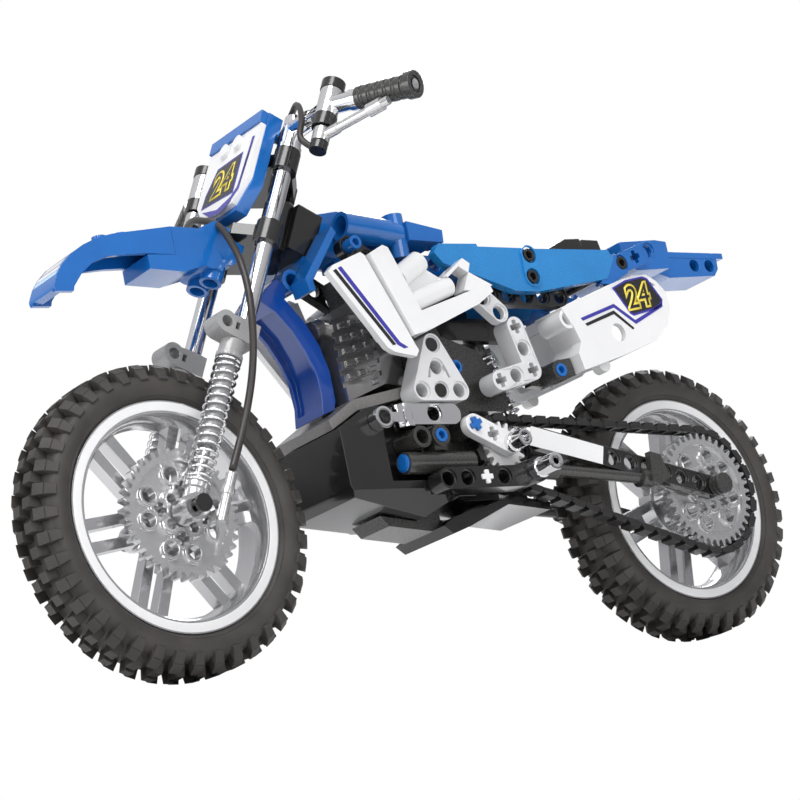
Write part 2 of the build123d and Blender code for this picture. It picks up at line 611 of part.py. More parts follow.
# ---------------------------------------------------------------- main frame
# side rails from the tank to the seat, both sides
def rail():
    b = beam((80.6, 138.8), -31.0, 6, -17.4, -13.6)
    return b


def rail2():
    b = beam((105.3, 122.6), 0, 9, -19.4, -15.6, cross=(2,))
    return b


r1, r2 = rail(), rail2()
put("frame_rail_left", r1, r2)
put("frame_rail_right", mirror_y(r1), mirror_y(r2))
spine = prism([(84.0, 142.6), (122.6, 142.2), (178.0, 142.4), (190.0, 142.0), (190.0, 135.4), (120.0, 134.8), (100.0, 135.0), (84.0, 136.0)], -3.8, 3.8)
for k in range(5):
    spine -= cyl((112.0 + 16 * k, -5, 138.6), (112.0 + 16 * k, 5, 138.6), HOLE_R)
put("seat_spine", spine)
cols = prism([(104.0, 134.6), (118.0, 134.6), (126.0, 116.8), (150.0, 117.0), (150.0, 109.4), (118.0, 109.6)], -7.6, -3.9)
cols = cols - cyl((141.0, -9, 113.0), (141.0, 0, 113.0), 2.46)
put("shock_hanger_plates", cols, mirror_y(cols))


def seat_panel():
    out = [(111.3, 135.2), (114.0, 138.6), (131.0, 139.2), (131.4, 138.2), (151.0, 138.4), (158.0, 138.4), (192.9, 139.3), (194.9, 135.8), (189.8, 128.2), (155.4, 122.4), (145.1, 122.4), (114.5, 131.6)]
    p = holed(poly(out), -24.0, -20.4, [(153.8, 135.7), (153.6, 127.7)])
    # raised rib carrying the two holes, and a bevelled upper edge
    p += slab(capsule((153.8, 135.7), (153.6, 127.7), 7.2) - Pos(153.8, 135.7) * Circle(CBORE_R) - Pos(153.6, 127.7) * Circle(CBORE_R), -24.8, -24.0)
    topf = Polygon((-24.0, 0), (-20.4, 0), (-10.0, 3.6), (-10.0, 6.0), (-21.0, 2.4), (-24.0, 0.6), align=None)
    return p


def seat_top():
    # sloping upper skin from the side panel to the spine
    secs = []
    pts = [(-20.3, 138.9), (-20.3, 136.2), (-4.2, 140.2), (-4.2, 143.4)]
    pl = Plane(origin=(132.0, 0, 0), x_dir=(0, 1, 0), z_dir=(1, 0, 0))
    sk = Polygon(*pts, align=None)
    return extrude(pl * sk, amount=56.0, dir=(1, 0, 0))


sp, st = seat_panel(), seat_top()
put("seat_panel_left", sp)
put("seat_panel_right", mirror_y(sp))
put("seat_skins", st, mirror_y(st))
hump = prism([(178.2, 142.6), (179.2, 145.0), (188.8, 149.4), (196.2, 149.9), (196.4, 147.6), (197.4, 149.6), (205.2, 149.6), (206.0, 146.0), (203.0, 142.6)], -7.8, 7.8)
put("seat_pad", hump)

# tail
tbm = beam((198.6, 134.6), 19.6, 3, -23.8, -20.0, cross=(1,))
tbm += prism([(186.2, 126.4), (191.4, 126.2), (201.0, 131.0), (196.0, 138.2), (194.6, 136.2)], -23.8, -20.4)
put("tail_beam_left", tbm)
put("tail_beam_right", mirror_y(tbm))
tail = prism([(208.0, 146.0), (226.0, 147.6), (231.6, 147.2), (236.1, 146.1), (TAIL_X, 146.6), (TAIL_X, 144.4), (238.0, 143.9), (231.0, 136.6), (214.0, 135.2), (208.0, 139.0)], -15.8, 15.8)
tail -= prism([(207.0, 142.5), (226.0, 144.4), (231.0, 143.6), (231.0, 138.6), (213.0, 137.4), (207.0, 140.4)], -13.6, 13.6)
for sy in (-1, 1):
    cut = extrude(Plane(origin=(0, 0, 130), z_dir=(0, 0, 1)) * poly([(232.0, sy * 15.9), (236.0, sy * 8.4), (TAIL_X + 1, sy * 8.4), (TAIL_X + 1, sy * 20.0), (232.0, sy * 20.0)]), amount=30, dir=(0, 0, 1))
    tail -= cut
tb = prism([(234.0, 144.2), (265.4, 144.8), (265.0, 140.2), (262.5, 137.4), (238.0, 135.8), (231.5, 137.6)], -8.2, 8.2)
tb -= cyl((252.6, -12, 141.2), (252.6, 12, 141.2), HOLE_R)
tb -= cyl((260.6, -12, 141.3), (260.6, 12, 141.3), HOLE_R)
put("tail_plate", tail)
put("tail_block", tb - tail)
put("tail_cross_pins", cyl((206.1, -19.8, 137.3), (206.1, -16.0, 137.3), 2.4) + cyl((206.1, -16.2, 137.3), (206.1, 16.2, 137.3), 1.9) + cyl((206.1, 16.0, 137.3), (206.1, 19.8, 137.3), 2.4))


# white shrouds and side covers
def shroud():
    a = [(61.3, 125.4), (63.6, 127.6), (76.1, 132.6), (77.6, 131.6), (92.6, 98.6), (91.2, 96.6), (82.4, 98.0), (79.6, 99.6)]
    p = prism(a, -28.0, -25.4)
    p += prism([(78.8, 131.8), (84.8, 134.9), (87.0, 134.2), (98.0, 107.4), (96.4, 105.0), (91.0, 103.6)], -29.4, -25.6)
    p += prism([(66.0, 126.2), (76.0, 130.4), (78.0, 131.4), (86.0, 133.0), (92.0, 112.0), (84.0, 104.0), (80.0, 103.0)], -25.7, -22.4)
    p += cyl((80.6, -22.6, 133.0 - 10), (80.6, -21.8, 133.0 - 10), 3.6)
    return p


sh = shroud()
put("shroud_left", sh)
put("shroud_right", mirror_y(sh))


def side_cover():
    p = prism([(96.6, 104.9), (95.6, 112.2), (121.8, 120.8), (129.6, 122.6), (130.6, 120.4), (123.0, 115.6)], -28.0, -21.9)
    up = prism([(110.6, 125.6), (120.0, 132.2), (122.9, 130.4), (121.6, 127.2), (131.2, 122.8), (129.6, 122.2), (121.8, 120.4), (118.0, 120.6), (121.4, 127.0), (117.6, 129.2), (112.2, 125.2)], -27.6, -21.9)
    up = up + cyl((94.5, -24.6, 115.6), (113.5, -24.6, 122.8), 3.5)
    up = up + cyl((92.6, -24.2, 124.8), (103.2, -24.2, 131.4), 3.9)
    up = up + prism([(98.5, 117.0), (93.5, 123.6), (103.0, 130.0), (110.8, 125.8), (112.4, 123.0)], -24.6, -21.9)
    p = p + up
    return p


sc = side_cover()
put("side_cover_left", sc)
put("side_cover_right", mirror_y(sc))


def rear_board():
    """Curved rear number board: hollow shell, open underneath and in front."""
    w = []
    pts = [(-7.0, 3.0), (-20.0, 8.6)]
    outl = [(160.6, 115.3), (186.0, 124.6), (204.5, 130.8), (211.5, 131.4), (213.9, 128.0), (213.9, 117.0), (210.4, 109.2), (203.0, 103.8), (186.2, 98.2), (165.7, 92.5), (164.4, 98.6), (166.6, 103.0), (164.6, 108.6)]
    outer = prism(outl, -27.6, -13.0)
    inner = prism([(166.0, 112.6), (186.5, 120.6), (204.6, 127.0), (210.6, 127.6), (211.4, 126.0), (211.4, 117.4), (208.4, 110.8), (202.0, 106.0), (186.0, 101.0), (171.0, 96.8), (169.0, 100.0), (171.0, 104.0), (169.0, 108.4)], -25.4, -10.0)
    p = outer - inner
    # lower outer corner leans inwards
    lean = extrude(Plane(origin=(150, 0, 0), x_dir=(0, 1, 0), z_dir=(1, 0, 0)) * Polygon((-30.0, 90.0), (-19.0, 90.0), (-27.8, 112.0), (-30.0, 112.0), align=None), amount=80, dir=(1, 0, 0))
    lean2 = extrude(Plane(origin=(150, 0, 0), x_dir=(0, 1, 0), z_dir=(1, 0, 0)) * Polygon((-30.0, 122.0), (-27.8, 122.0), (-20.0, 134.0), (-30.0, 134.0), align=None), amount=80, dir=(1, 0, 0))
    p = p - lean2
    p += prism([(164.4, 98.6), (165.7, 92.5), (186.2, 98.2), (192.0, 106.6), (184.0, 111.4), (168.0, 105.0)], -27.6, -25.4)
    p -= cyl((185.6, -30, 106.6), (185.6, -20, 106.6), 3.4)
    p += cyl((181.0, -22.0, 96.4), (181.0, -18.0, 96.4), 2.6)
    p += cyl((163.2, -27.0, 111.6), (163.2, -15.0, 111.6), 3.7) - cyl((163.2, -29.0, 111.6), (163.2, -12.0, 111.6), HOLE_R)
    return p


rb = rear_board()
put("rear_board_left", rb)
put("rear_board_right", mirror_y(rb))
bs = cyl((157.8, -24.0, 93.6), (157.8, -13.0, 93.6), 3.8) - cyl((157.8, -24.5, 93.6), (157.8, -21.0, 93.6), HOLE_R)
bs += prism([(157.8, 97.4), (157.8, 89.8), (164.6, 91.9), (163.4, 98.2)], -23.6, -14.0)
bs += prism([(150.4, 90.6), (160.0, 89.9), (160.0, 97.3), (150.4, 98.2)], -15.6, -12.0)
put("board_brackets", bs, mirror_y(bs))

# ---------------------------------------------------------------- engine
grille = prism([(71.4, 116.8), (79.0, 120.8), (86.4, 117.6), (88.8, 104.6), (88.8, 92.2), (72.4, 86.2), (71.6, 104.0)], -12.0, 12.0)
for k in range(6):
    z = 90.5 + 4.4 * k
    grille -= prism([(70.0, z), (70.0, z + 1.7), (92.0, z + 7.5), (92.0, z + 5.8)], -13.0, -10.6)
    grille -= prism([(70.0, z), (70.0, z + 1.7), (92.0, z + 7.5), (92.0, z + 5.8)], 10.6, 13.0)
put("cylinder_block", grille)
head = prism([(89.0, 92.6), (89.0, 104.4), (86.8, 117.2), (92.8, 118.6), (98.6, 104.0), (98.6, 91.6)], -11.2, 11.2)
put("cylinder_head", head)
put("exhaust_knobs", cyl((70.9, -5.0, 113.6), (66.6, -6.0, 112.0), 3.4), cyl((70.9, 5.0, 113.6), (66.6, 6.0, 112.0), 3.4))
base = prism([(59.5, 78.6), (71.0, 85.6), (98.6, 91.2), (99.2, 87.6), (72.0, 81.8), (60.6, 75.4)], -15.6, 15.6)
put("cylinder_base", base)

# crankcase shell with sloped lower edges
cc = prism([(60.2, 74.8), (72.0, 81.4), (99.2, 87.2), (104.0, 84.0), (106.0, 58.6), (110.0, 58.2), (128.0, 58.0), (128.0, 51.0), (104.4, 50.8), (94.0, 45.8), (62.4, 51.8), (60.4, 55.4)], -19.4, 19.4)
for sy in (-1, 1):
    cc -= extrude(Plane(origin=(50, 0, 0), x_dir=(0, 1, 0), z_dir=(1, 0, 0)) * Polygon((sy * 19.5, 54.0), (sy * 12.0, 45.0), (sy * 12.0, 40.0), (sy * 24.0, 40.0), (sy * 24.0, 54.0), align=None), amount=52, dir=(1, 0, 0))
    cc -= box(78.0, 140.0, min(sy * 12.4, sy * 25), max(sy * 12.4, sy * 25), 56.6, 95.0)
    cc -= box(112.0, 140.0, min(sy * 12.4, sy * 25), max(sy * 12.4, sy * 25), 45.0, 95.0)
cc -= cyl((PIVOT[0], -25, PIVOT[1]), (PIVOT[0], 25, PIVOT[1]), 4.0)
put("crankcase", cc)
sump = prism([(79.0, 48.0), (82.0, 44.4), (100.0, 42.0), (104.0, 45.8), (104.0, 50.4), (94.0, 45.6)], -8.0, 8.0)
put("oil_drain_block", sump)
skid = prism([(100.4, 42.4), (104.0, 39.6), (112.0, 42.0), (130.4, 49.0), (148.6, 46.6), (149.4, 49.4), (131.0, 52.4), (128.6, 50.6), (105.0, 45.2)], -13.6, 13.6)
put("skid_plate", skid - sump - cc)

# gearbox block between the cylinder and the swingarm
gb = prism([(100.4, 87.0), (104.6, 84.2), (106.4, 59.0), (112.0, 59.0), (112.0, 61.4), (133.4, 61.4), (134.6, 80.0), (141.0, 84.0), (141.0, 92.0), (131.0, 104.6), (117.0, 109.2), (104.0, 109.2), (99.2, 104.6), (99.2, 92.0)], -12.2, 12.2)
gb -= cyl((PIVOT[0], -25, PIVOT[1]), (PIVOT[0], 25, PIVOT[1]), 2.46)
gb -= box(135.0, 150, -7.9, 7.9, 55, 120)
for x, z in ((110.5, 94.4), (120.0, 98.0)):
    gb -= cyl((x, -13, z), (x, -8, z), HOLE_R)
    gb -= cyl((x, 8, z), (x, 13, z), HOLE_R)
# room for the inner swingarm arms
gb -= box(122.6, 150, -12.4, -7.9, 55, 82.4)
gb -= box(122.6, 150, 7.9, 12.4, 55, 82.4)
put("gearbox", gb)
airbox = prism([(104.0, 109.4), (117.2, 109.4), (117.8, 110.2), (104.8, 133.4), (99.0, 134.6), (88.0, 134.6), (92.0, 120.0), (100.0, 105.6)], -11.0, 11.0)
airbox -= prism([(80, 100), (99.1, 100), (99.1, 119), (86.6, 119.2), (80, 119.2)], -13, 13)
put("air_box", airbox - gb - spine)


# white triangular liftarm, chrome beam, connectors
def tri():
    pts = [(94.4, 86.3), (110.4, 86.3), (102.4, 102.4)]
    sk = fan([pts[0], pts[1], pts[2], pts[0]], BEAM_W) + poly(pts)
    holes = [(94.4, 86.3), (102.4, 86.3), (110.4, 86.3), (102.4, 94.4), (102.4, 102.4)]
    body = holed(sk, -24.0, -16.2, holes)
    # recessed side webs
    body -= prism([(97.6, 90.6), (98.6, 90.6), (100.0, 94.4), (99.2, 95.0)], -24.1, -22.6)
    body -= prism([(107.2, 90.6), (106.2, 90.6), (104.8, 94.4), (105.6, 95.0)], -24.1, -22.6)
    return body


t3 = tri()
put("triangle_arm_left", t3)
put("triangle_arm_right", mirror_y(t3))


def larm():
    c = (145.0, 93.7)
    u = (-0.242, 0.970)
    v = (-0.970, -0.242)
    P = lambda i, j: (c[0] + PITCH * (i * u[0] + j * v[0]), c[1] + PITCH * (i * u[1] + j * v[1]))
    sk = fan([P(2, 0), P(0, 0), P(0, 2)], BEAM_W)
    h = [P(1, 0), P(0, 1)]
    x = [(*P(0, 0), 14), (*P(2, 0), 14), (*P(0, 2), 14)]
    return holed(sk, -24.0, -16.2, h, x), P


la, LP = larm()
put("l_arm_left", la)
put("l_arm_right", mirror_y(la))
lk = beam((135.3, 114.4), 139.0, 2, -24.0, -20.2)
put("cover_links", lk, mirror_y(lk))


def chrome_beam():
    b = holed(capsule((89.0, 78.4), (106.0, 78.4), 7.2), -22.6, -15.6, [(98.4, 78.6)])
    b += cyl((87.8, -19.0, 74.4), (87.8, -19.0, 82.2), 3.7)
    return b


cb = chrome_beam()
lc = pipe((76.0, -24.0, 77.0), (76.0, -19.6, 77.0), 3.7, HOLE_R)
lc += prism([(79.2, 75.4), (79.2, 78.8), (84.3, 78.8), (84.3, 75.4)], -23.4, -20.0)
put("chrome_beams", cb, mirror_y(cb), lc, mirror_y(lc))


def connectors():
    out = []
    a = pipe((90.1, -24.0, 70.2), (90.1, -12.6, 70.2), 3.7, HOLE_R)
    out.append(a)
    b = pipe((98.2, -24.0, 70.6), (98.2, -16.2, 70.6), 3.7, HOLE_R)
    b += prism([(95.6, 67.9), (100.8, 67.9), (100.8, 66.0), (95.6, 66.0)], -22.6, -17.6)
    b += cyl((84.0, -19.4, 62.4), (112.4, -19.4, 62.4), 3.75)
    b -= cyl((83.0, -19.4, 62.4), (90.0, -19.4, 62.4), HOLE_R)
    b -= cyl((106.0, -19.4, 62.4), (113.0, -19.4, 62.4), HOLE_R)
    out.append(b)
    return out


cn = connectors()
put("pin_connectors", *cn, *[mirror_y(q) for q in cn])
# carrier link outside the small sprocket, with a sleeve and a silver pin
LK = [(113.6, 74.3), (120.8, 70.85), PIVOT]
link = holed(fan(LK, BEAM_W), -24.2, -20.6, [], [(LK[0][0], LK[0][1], 25), (LK[1][0], LK[1][1], 10)])
link -= cyl((PIVOT[0], -26, PIVOT[1]), (PIVOT[0], -18, PIVOT[1]), 2.46)
put("sprocket_carrier", link)
lp = pipe((LK[2][0], -31.4, LK[2][1]), (LK[2][0], -24.25, LK[2][1]), 2.9, 1.7)
lp += cyl((LK[2][0], -26.0, LK[2][1]), (LK[2][0], -24.25, LK[2][1]), 3.5)
put("gear_pedal_pin", lp)
put("carrier_sleeve", pipe((LK[0][0], -20.4, LK[0][1]), (LK[0][0], -12.6, LK[0][1]), 3.3, 2.5))

# lower beams with the foot pegs
lb = beam((94.6, 54.7), 0.6, 5, -28.0, -21.0, cross=(2,))
lbo = cyl((133.4, -28.4, 57.0), (133.4, -21.0, 57.0), 4.4) + prism([(124.0, 51.6), (131.0, 53.4), (131.0, 60.6), (124.0, 58.8)], -27.6, -21.0)
lb = lb + lbo
lb += box(92.5, 99.0, -21.1, -19.5, 51.6, 57.6)
put("lower_beam_left", lb)
put("lower_beam_right", mirror_y(lb))
peg = pipe((134.0, -37.2, 57.2), (134.0, -28.5, 57.2), 3.1, 1.2) + cyl((134.0, -30.0, 57.2), (134.0, -28.5, 57.2), 3.6)
put("foot_pegs", peg, mirror_y(peg))


# pins and axles seen in the holes, one node per colour
def pins():
    out = []
    for x, z, y0, y1 in ((98.2, 70.6, -24.3, -16.4), (110.5, 94.4, -13.8, -8.2), (120.0, 98.0, -13.8, -8.2), (157.8, 93.6, -24.3, -21.2), (80.6, 138.8, -21.4, -13.8)):
        out.append(pin_y(x, z, y0, y1))
    out.append(cyl((83.0, -19.4, 62.4), (89.6, -19.4, 62.4), PIN_R) + cyl((83.2, -19.4, 62.4), (83.9, -19.4, 62.4), 3.0))
    return out


pb = pins()
bl_axle = axle_y(LK[0][0], LK[0][1], -25.2, -13.0, 25)
put("blue_pins", *pb, *[mirror_y(q) for q in pb], bl_axle)
pk = [pin_y(153.8, 135.7, -24.6, -16.2), pin_y(153.6, 127.7, -24.6, -16.2),
      pin_y(198.6, 134.6, -24.0, -16.2),
      cyl((102.4, -23.6, 86.3), (102.4, -12.4, 86.3), PIN_R), cyl((102.4, -23.6, 102.4), (102.4, -12.4, 102.4), PIN_R)]
put("black_pins", *pk, *[mirror_y(q) for q in pk])
wx = [axle_y(110.6, 54.87, -28.6, -21.0, 0.6)]
put("white_axle_ends", *wx, *[mirror_y(q) for q in wx])

# ---------------------------------------------------------------- swingarm
UX, UZ = -math.cos(SLOPE), math.sin(SLOPE)


def K(k, o=0.0):
    """Point k pitches ahead of the rear axle along the arm, o across it."""
    return (RX + PITCH * k * UX + o * math.sin(SLOPE), AXLE_Z + PITCH * k * UZ + o * math.cos(SLOPE))


def arm_outer():
    pts = [K(k) for k in range(0, 11)]
    pr = capsule(pts[0], pts[-1], BEAM_W)
    a = holed(pr, -24.0, -20.3, [K(k) for k in (1, 2, 3, 4, 5, 6)] + [K(9)], [(*K(8), -13.6), (*K(10), -13.6)])
    a -= cyl((RX, -26, AXLE_Z), (RX, -18, AXLE_Z), 2.46)
    return a


def arm_inner():
    pr = fan([PIVOT, (143.4, 68.2), K(8)], BEAM_W)
    a = holed(pr, -12.0, -8.2, [(143.4, 68.2), (135.6, 67.8)], [(*K(8), -13.6)])
    a -= cyl((PIVOT[0], -14, PIVOT[1]), (PIVOT[0], -6, PIVOT[1]), 2.46)
    return a


ao, ai = arm_outer(), arm_inner()
put("swingarm_left", ao)
put("swingarm_right", mirror_y(ao))
put("swingarm_inner_left", ai)
put("swingarm_inner_right", mirror_y(ai))
k8 = K(8)
x8 = axle_y(k8[0], k8[1], -23.8, 23.8, -13.6)
put("swingarm_cross_axle", x8)
spc = pipe((k8[0], -20.1, k8[1]), (k8[0], -12.2, k8[1]), 3.2, 2.52)
mid = pipe((k8[0], -8.0, k8[1]), (k8[0], -3.5, k8[1]), 3.4, 2.52)
put("swingarm_spacers", spc, mirror_y(spc), mid, mirror_y(mid))
SHOCK_LO = k8


def strut():
    a = Vector(141.0, -22.2, 58.6)
    b = Vector(189.6, -22.2, 54.3)
    e = (b - a).normalized()
    rod = cyl(a, b, 2.1)
    sock = cyl(a, a + e * 5.5, 3.4) + cyl(b - e * 4.5, b, 3.4)
    return rod + sock


sr = strut()
bd = prism([(188.6, 63.0), (193.6, 61.8), (196.0, 53.4), (190.8, 51.0), (187.4, 52.6)], -26.6, -24.1)
bd += cyl((191.0, -24.2, 54.2), (191.0, -20.0, 54.2), 3.0) - cyl((180.0, -22.2, 55.15), (189.7, -22.2, 54.29), 3.6)
put("swingarm_struts", sr, mirror_y(sr))
put("swingarm_bands", bd, mirror_y(bd))

# chain: closed loop of links around both sprockets
dx, dz = RX - PIVOT[0], AXLE_Z - PIVOT[1]
CD = math.hypot(dx, dz)
ca = math.atan2(dz, dx)


def loop(off):
    """Outline points of the belt line at distance off outside the sprockets."""
    r1, r2 = CHAIN_R1 + off, CHAIN_R2 + off
    b = math.asin((r2 - r1) / CD)
    pts = []
    n1, n2 = 20, 40
    a0 = ca + math.pi / 2 + b
    a1 = ca + 3 * math.pi / 2 - b
    for i in range(n1 + 1):
        a = a0 + (a1 - a0) * i / n1
        pts.append((PIVOT[0] + r1 * math.cos(a), PIVOT[1] + r1 * math.sin(a)))
    a0 = ca - math.pi / 2 - b
    a1 = ca + math.pi / 2 + b
    for i in range(n2 + 1):
        a = a0 + (a1 - a0) * i / n2
        pts.append((RX + r2 * math.cos(a), AXLE_Z + r2 * math.sin(a)))
    return pts




def along(pts, n):
    """n stations with equal spacing on the closed polyline pts: point and normal."""
    seg = []
    tot = 0
    m = len(pts)
    for i in range(m):
        a, b = pts[i], pts[(i + 1) % m]
        L = math.hypot(b[0] - a[0], b[1] - a[1])
        seg.append((a, b, L, tot))
        tot += L
    out = []
    for k in range(n):
        d = tot * k / n
        for a, b, L, s in seg:
            if s <= d < s + L and L > 1e-9:
                f = (d - s) / L
                tx, tz = (b[0] - a[0]) / L, (b[1] - a[1]) / L
                out.append((a[0] + f * (b[0] - a[0]), a[1] + f * (b[1] - a[1]), tx, tz))
                break
    return out, tot


def chain():
    ring = poly(loop(1.5)) - poly(loop(0.0))
    body = slab(ring, CHAIN_Y[0] + 0.8, CHAIN_Y[1] - 0.8)
    st, tot = along(loop(0.9), CHAIN_LINKS)
    hw = tot / CHAIN_LINKS * 0.36
    blocks = None
    for x, z, tx, tz in st:
        nx, nz = tz, -tx
        q = poly([(x - tx * hw + nx * 0.0, z - tz * hw + nz * 0.0), (x + tx * hw, z + tz * hw),
                  (x + tx * hw * 0.9 + nx * 1.9, z + tz * hw * 0.9 + nz * 1.9), (x - tx * hw * 0.9 + nx * 1.9, z - tz * hw * 0.9 + nz * 1.9)])
        blocks = q if blocks is None else blocks + q
    return body + slab(blocks, CHAIN_Y[0], CHAIN_Y[1])


put("chain", chain())

# small sprocket on its own axle
sp16 = gear2(16, 1.0, 0)
ssk = Pos(*PIVOT) * (sp16 - cross2())
put("drive_sprocket", slab(ssk, -19.9, -16.1))
put("drive_axle", axle_y(PIVOT[0], PIVOT[1], -24.1, 13.4, 0))

# rear shock
SD = (Vector(SHOCK_HI[0], 0, SHOCK_HI[1]) - Vector(SHOCK_LO[0], 0, SHOCK_LO[1]))
SL = SD.length
SE = SD.normalized()


def S(d, y=0.0):
    v = Vector(SHOCK_LO[0], y, SHOCK_LO[1]) + SE * d
    return (v.X, v.Y, v.Z)


sb = cyl((SHOCK_HI[0], -3.5, SHOCK_HI[1]), (SHOCK_HI[0], 3.5, SHOCK_HI[1]), 3.9)
sb += cyl(S(22.0), S(SL - 2.5), 3.0) + cyl(S(SL - 7.4), S(SL - 5.8), 4.6)
sb -= cyl((SHOCK_HI[0], -5, SHOCK_HI[1]), (SHOCK_HI[0], 5, SHOCK_HI[1]), 2.46)
sb -= cyl(S(20.0), S(SL - 5.0), 1.75)
put("rear_shock_cylinder", sb)
sro = cyl((SHOCK_LO[0], -3.1, SHOCK_LO[1]), (SHOCK_LO[0], 3.1, SHOCK_LO[1]), 5.0) + cyl(S(4.2), S(7.6), 3.2) + cyl(S(6.4), S(7.8), 4.6) + cyl(S(6.0), S(33.0), 1.6)
sro -= cyl((SHOCK_LO[0], -5, SHOCK_LO[1]), (SHOCK_LO[0], 5, SHOCK_LO[1]), 3.3)
put("rear_shock_rod", sro)
put("rear_shock_spring", pipe(S(8.0), S(SL - 7.6), 4.6, 3.45))
hgx = cyl((SHOCK_HI[0], -7.4, SHOCK_HI[1]), (SHOCK_HI[0], 7.4, SHOCK_HI[1]), 2.4)
put("shock_upper_pin", hgx)

# ---------------------------------------------------------------- trimming
# Pieces of one body meet face to face: each list runs from the pieces that keep
# their full shape to the fillers that are cut back to them.
FRAME = ["black_pins", "blue_pins", "triangle_arms", "l_arms", "sprocket_carrier", "chrome_beams", "lower_beams",
         "foot_pegs", "pin_connectors", "steering_head", "tank_sides", "side_covers", "shrouds", "seat_panels",
         "tail_beams", "rear_boards", "mud_guard", "tail_plate", "tank_top", "frame_rails", "seat_spine", "seat_pad",
         "skid_plate", "cylinder_base", "cylinder_block", "gearbox", "crankcase"]
STEER = ["fork_tubes", "fork_yokes", "handlebar", "fork_cylinders", "reservoir_caps_and_posts", "grips", "plate_frame", "number_plate",
         "fender_bracket", "front_fender", "brake_hose"]
REAR = ["swingarm_axles", "swingarm_beams", "swingarm_inner_arms", "swingarm_braces", "chain"]
FRONT_WHEEL = ["front_axle", "front_brake_disc", "front_rim", "front_tyre"]
REAR_WHEEL = ["rear_axle", "rear_sprocket", "rear_rim", "rear_tyre"]


def bb_hit(a, b, tol=0.02):
    A, B = a.bounding_box(), b.bounding_box()
    return all(getattr(A.min, k) < getattr(B.max, k) - tol and getattr(B.min, k) < getattr(A.max, k) - tol for k in "XYZ")


def trim(names):
    done = []
    for n in names:
        new = []
        for s in PARTS[n]:
            whole = s.volume
            hits = [d for d in done + new if bb_hit(s, d)]
            cutters = [d for d in hits if sum(q.volume for q in ((Part() + s) & d).solids()) > 1e-4] if hits else []
            if cutters:
                r = (Part() + s) - cutters
                keep = [q for q in r.solids() if q.volume > max(2.0, 0.02 * whole)]
            else:
                keep = [s]
            new += keep
        PARTS[n] = new
        done += new


for group in (FRAME, STEER, REAR, FRONT_WHEEL, REAR_WHEEL):
    trim(group)

# ---------------------------------------------------------------- export
for name, ss in PARTS.items():
    moved = [Pos(-ORIGIN_X, 0, 0) * s for s in ss]
    shape = moved[0] if len(moved) == 1 else Compound(children=[Part() + m if not isinstance(m, Solid) else m for m in moved])
    export_step(shape, "parts/" + name + ".step")
print("nodes", len(PARTS), "shock", SHOCK_LO, tuple(SE), SL)
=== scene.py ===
import math

import bmesh
import bpy
from mathutils import Matrix, Vector


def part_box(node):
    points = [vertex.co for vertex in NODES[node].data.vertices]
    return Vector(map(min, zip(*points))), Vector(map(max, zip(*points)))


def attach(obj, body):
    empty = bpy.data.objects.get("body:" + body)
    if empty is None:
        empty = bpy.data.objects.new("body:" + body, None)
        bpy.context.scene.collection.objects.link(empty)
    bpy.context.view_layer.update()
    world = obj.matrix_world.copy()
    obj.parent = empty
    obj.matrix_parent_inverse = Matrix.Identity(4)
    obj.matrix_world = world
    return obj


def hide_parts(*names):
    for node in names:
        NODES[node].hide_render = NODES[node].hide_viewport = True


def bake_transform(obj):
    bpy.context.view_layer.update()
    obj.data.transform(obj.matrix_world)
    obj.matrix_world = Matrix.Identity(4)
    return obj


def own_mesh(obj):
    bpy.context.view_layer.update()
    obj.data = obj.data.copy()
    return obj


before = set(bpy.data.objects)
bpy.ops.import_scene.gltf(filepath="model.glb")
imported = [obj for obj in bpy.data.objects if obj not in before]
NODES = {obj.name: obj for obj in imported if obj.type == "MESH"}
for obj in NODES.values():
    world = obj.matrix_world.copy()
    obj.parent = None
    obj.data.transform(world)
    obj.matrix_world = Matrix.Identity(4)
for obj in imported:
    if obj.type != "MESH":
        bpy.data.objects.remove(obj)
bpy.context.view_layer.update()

scene = bpy.context.scene
OX = -0.0503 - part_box("front_tyre")[0].x


def E(x, y, z):
    """Bike millimetres (x from the front axle) to the row frame in metres."""
    return Vector((x / 1000.0 - OX, y / 1000.0, z / 1000.0))


def radians(d):
    return d * math.pi / 180.0


FD = Vector((0.4472136, 0.0, 0.8944272))
FN = Vector((0.8944272, 0.0, -0.4472136))


def F(s, t, y):
    """Point in the raked fork frame, millimetres, to metres."""
    return E(0.4472136 * s + 0.8944272 * t, y, 50.3 + 0.8944272 * s - 0.4472136 * t)


# ------------------------------------------------------------------ materials
def new_mat(name):
    m = bpy.data.materials.new(name)
    m.use_nodes = True
    nt = m.node_tree
    b = nt.nodes.get("Principled BSDF")
    return m, nt, b


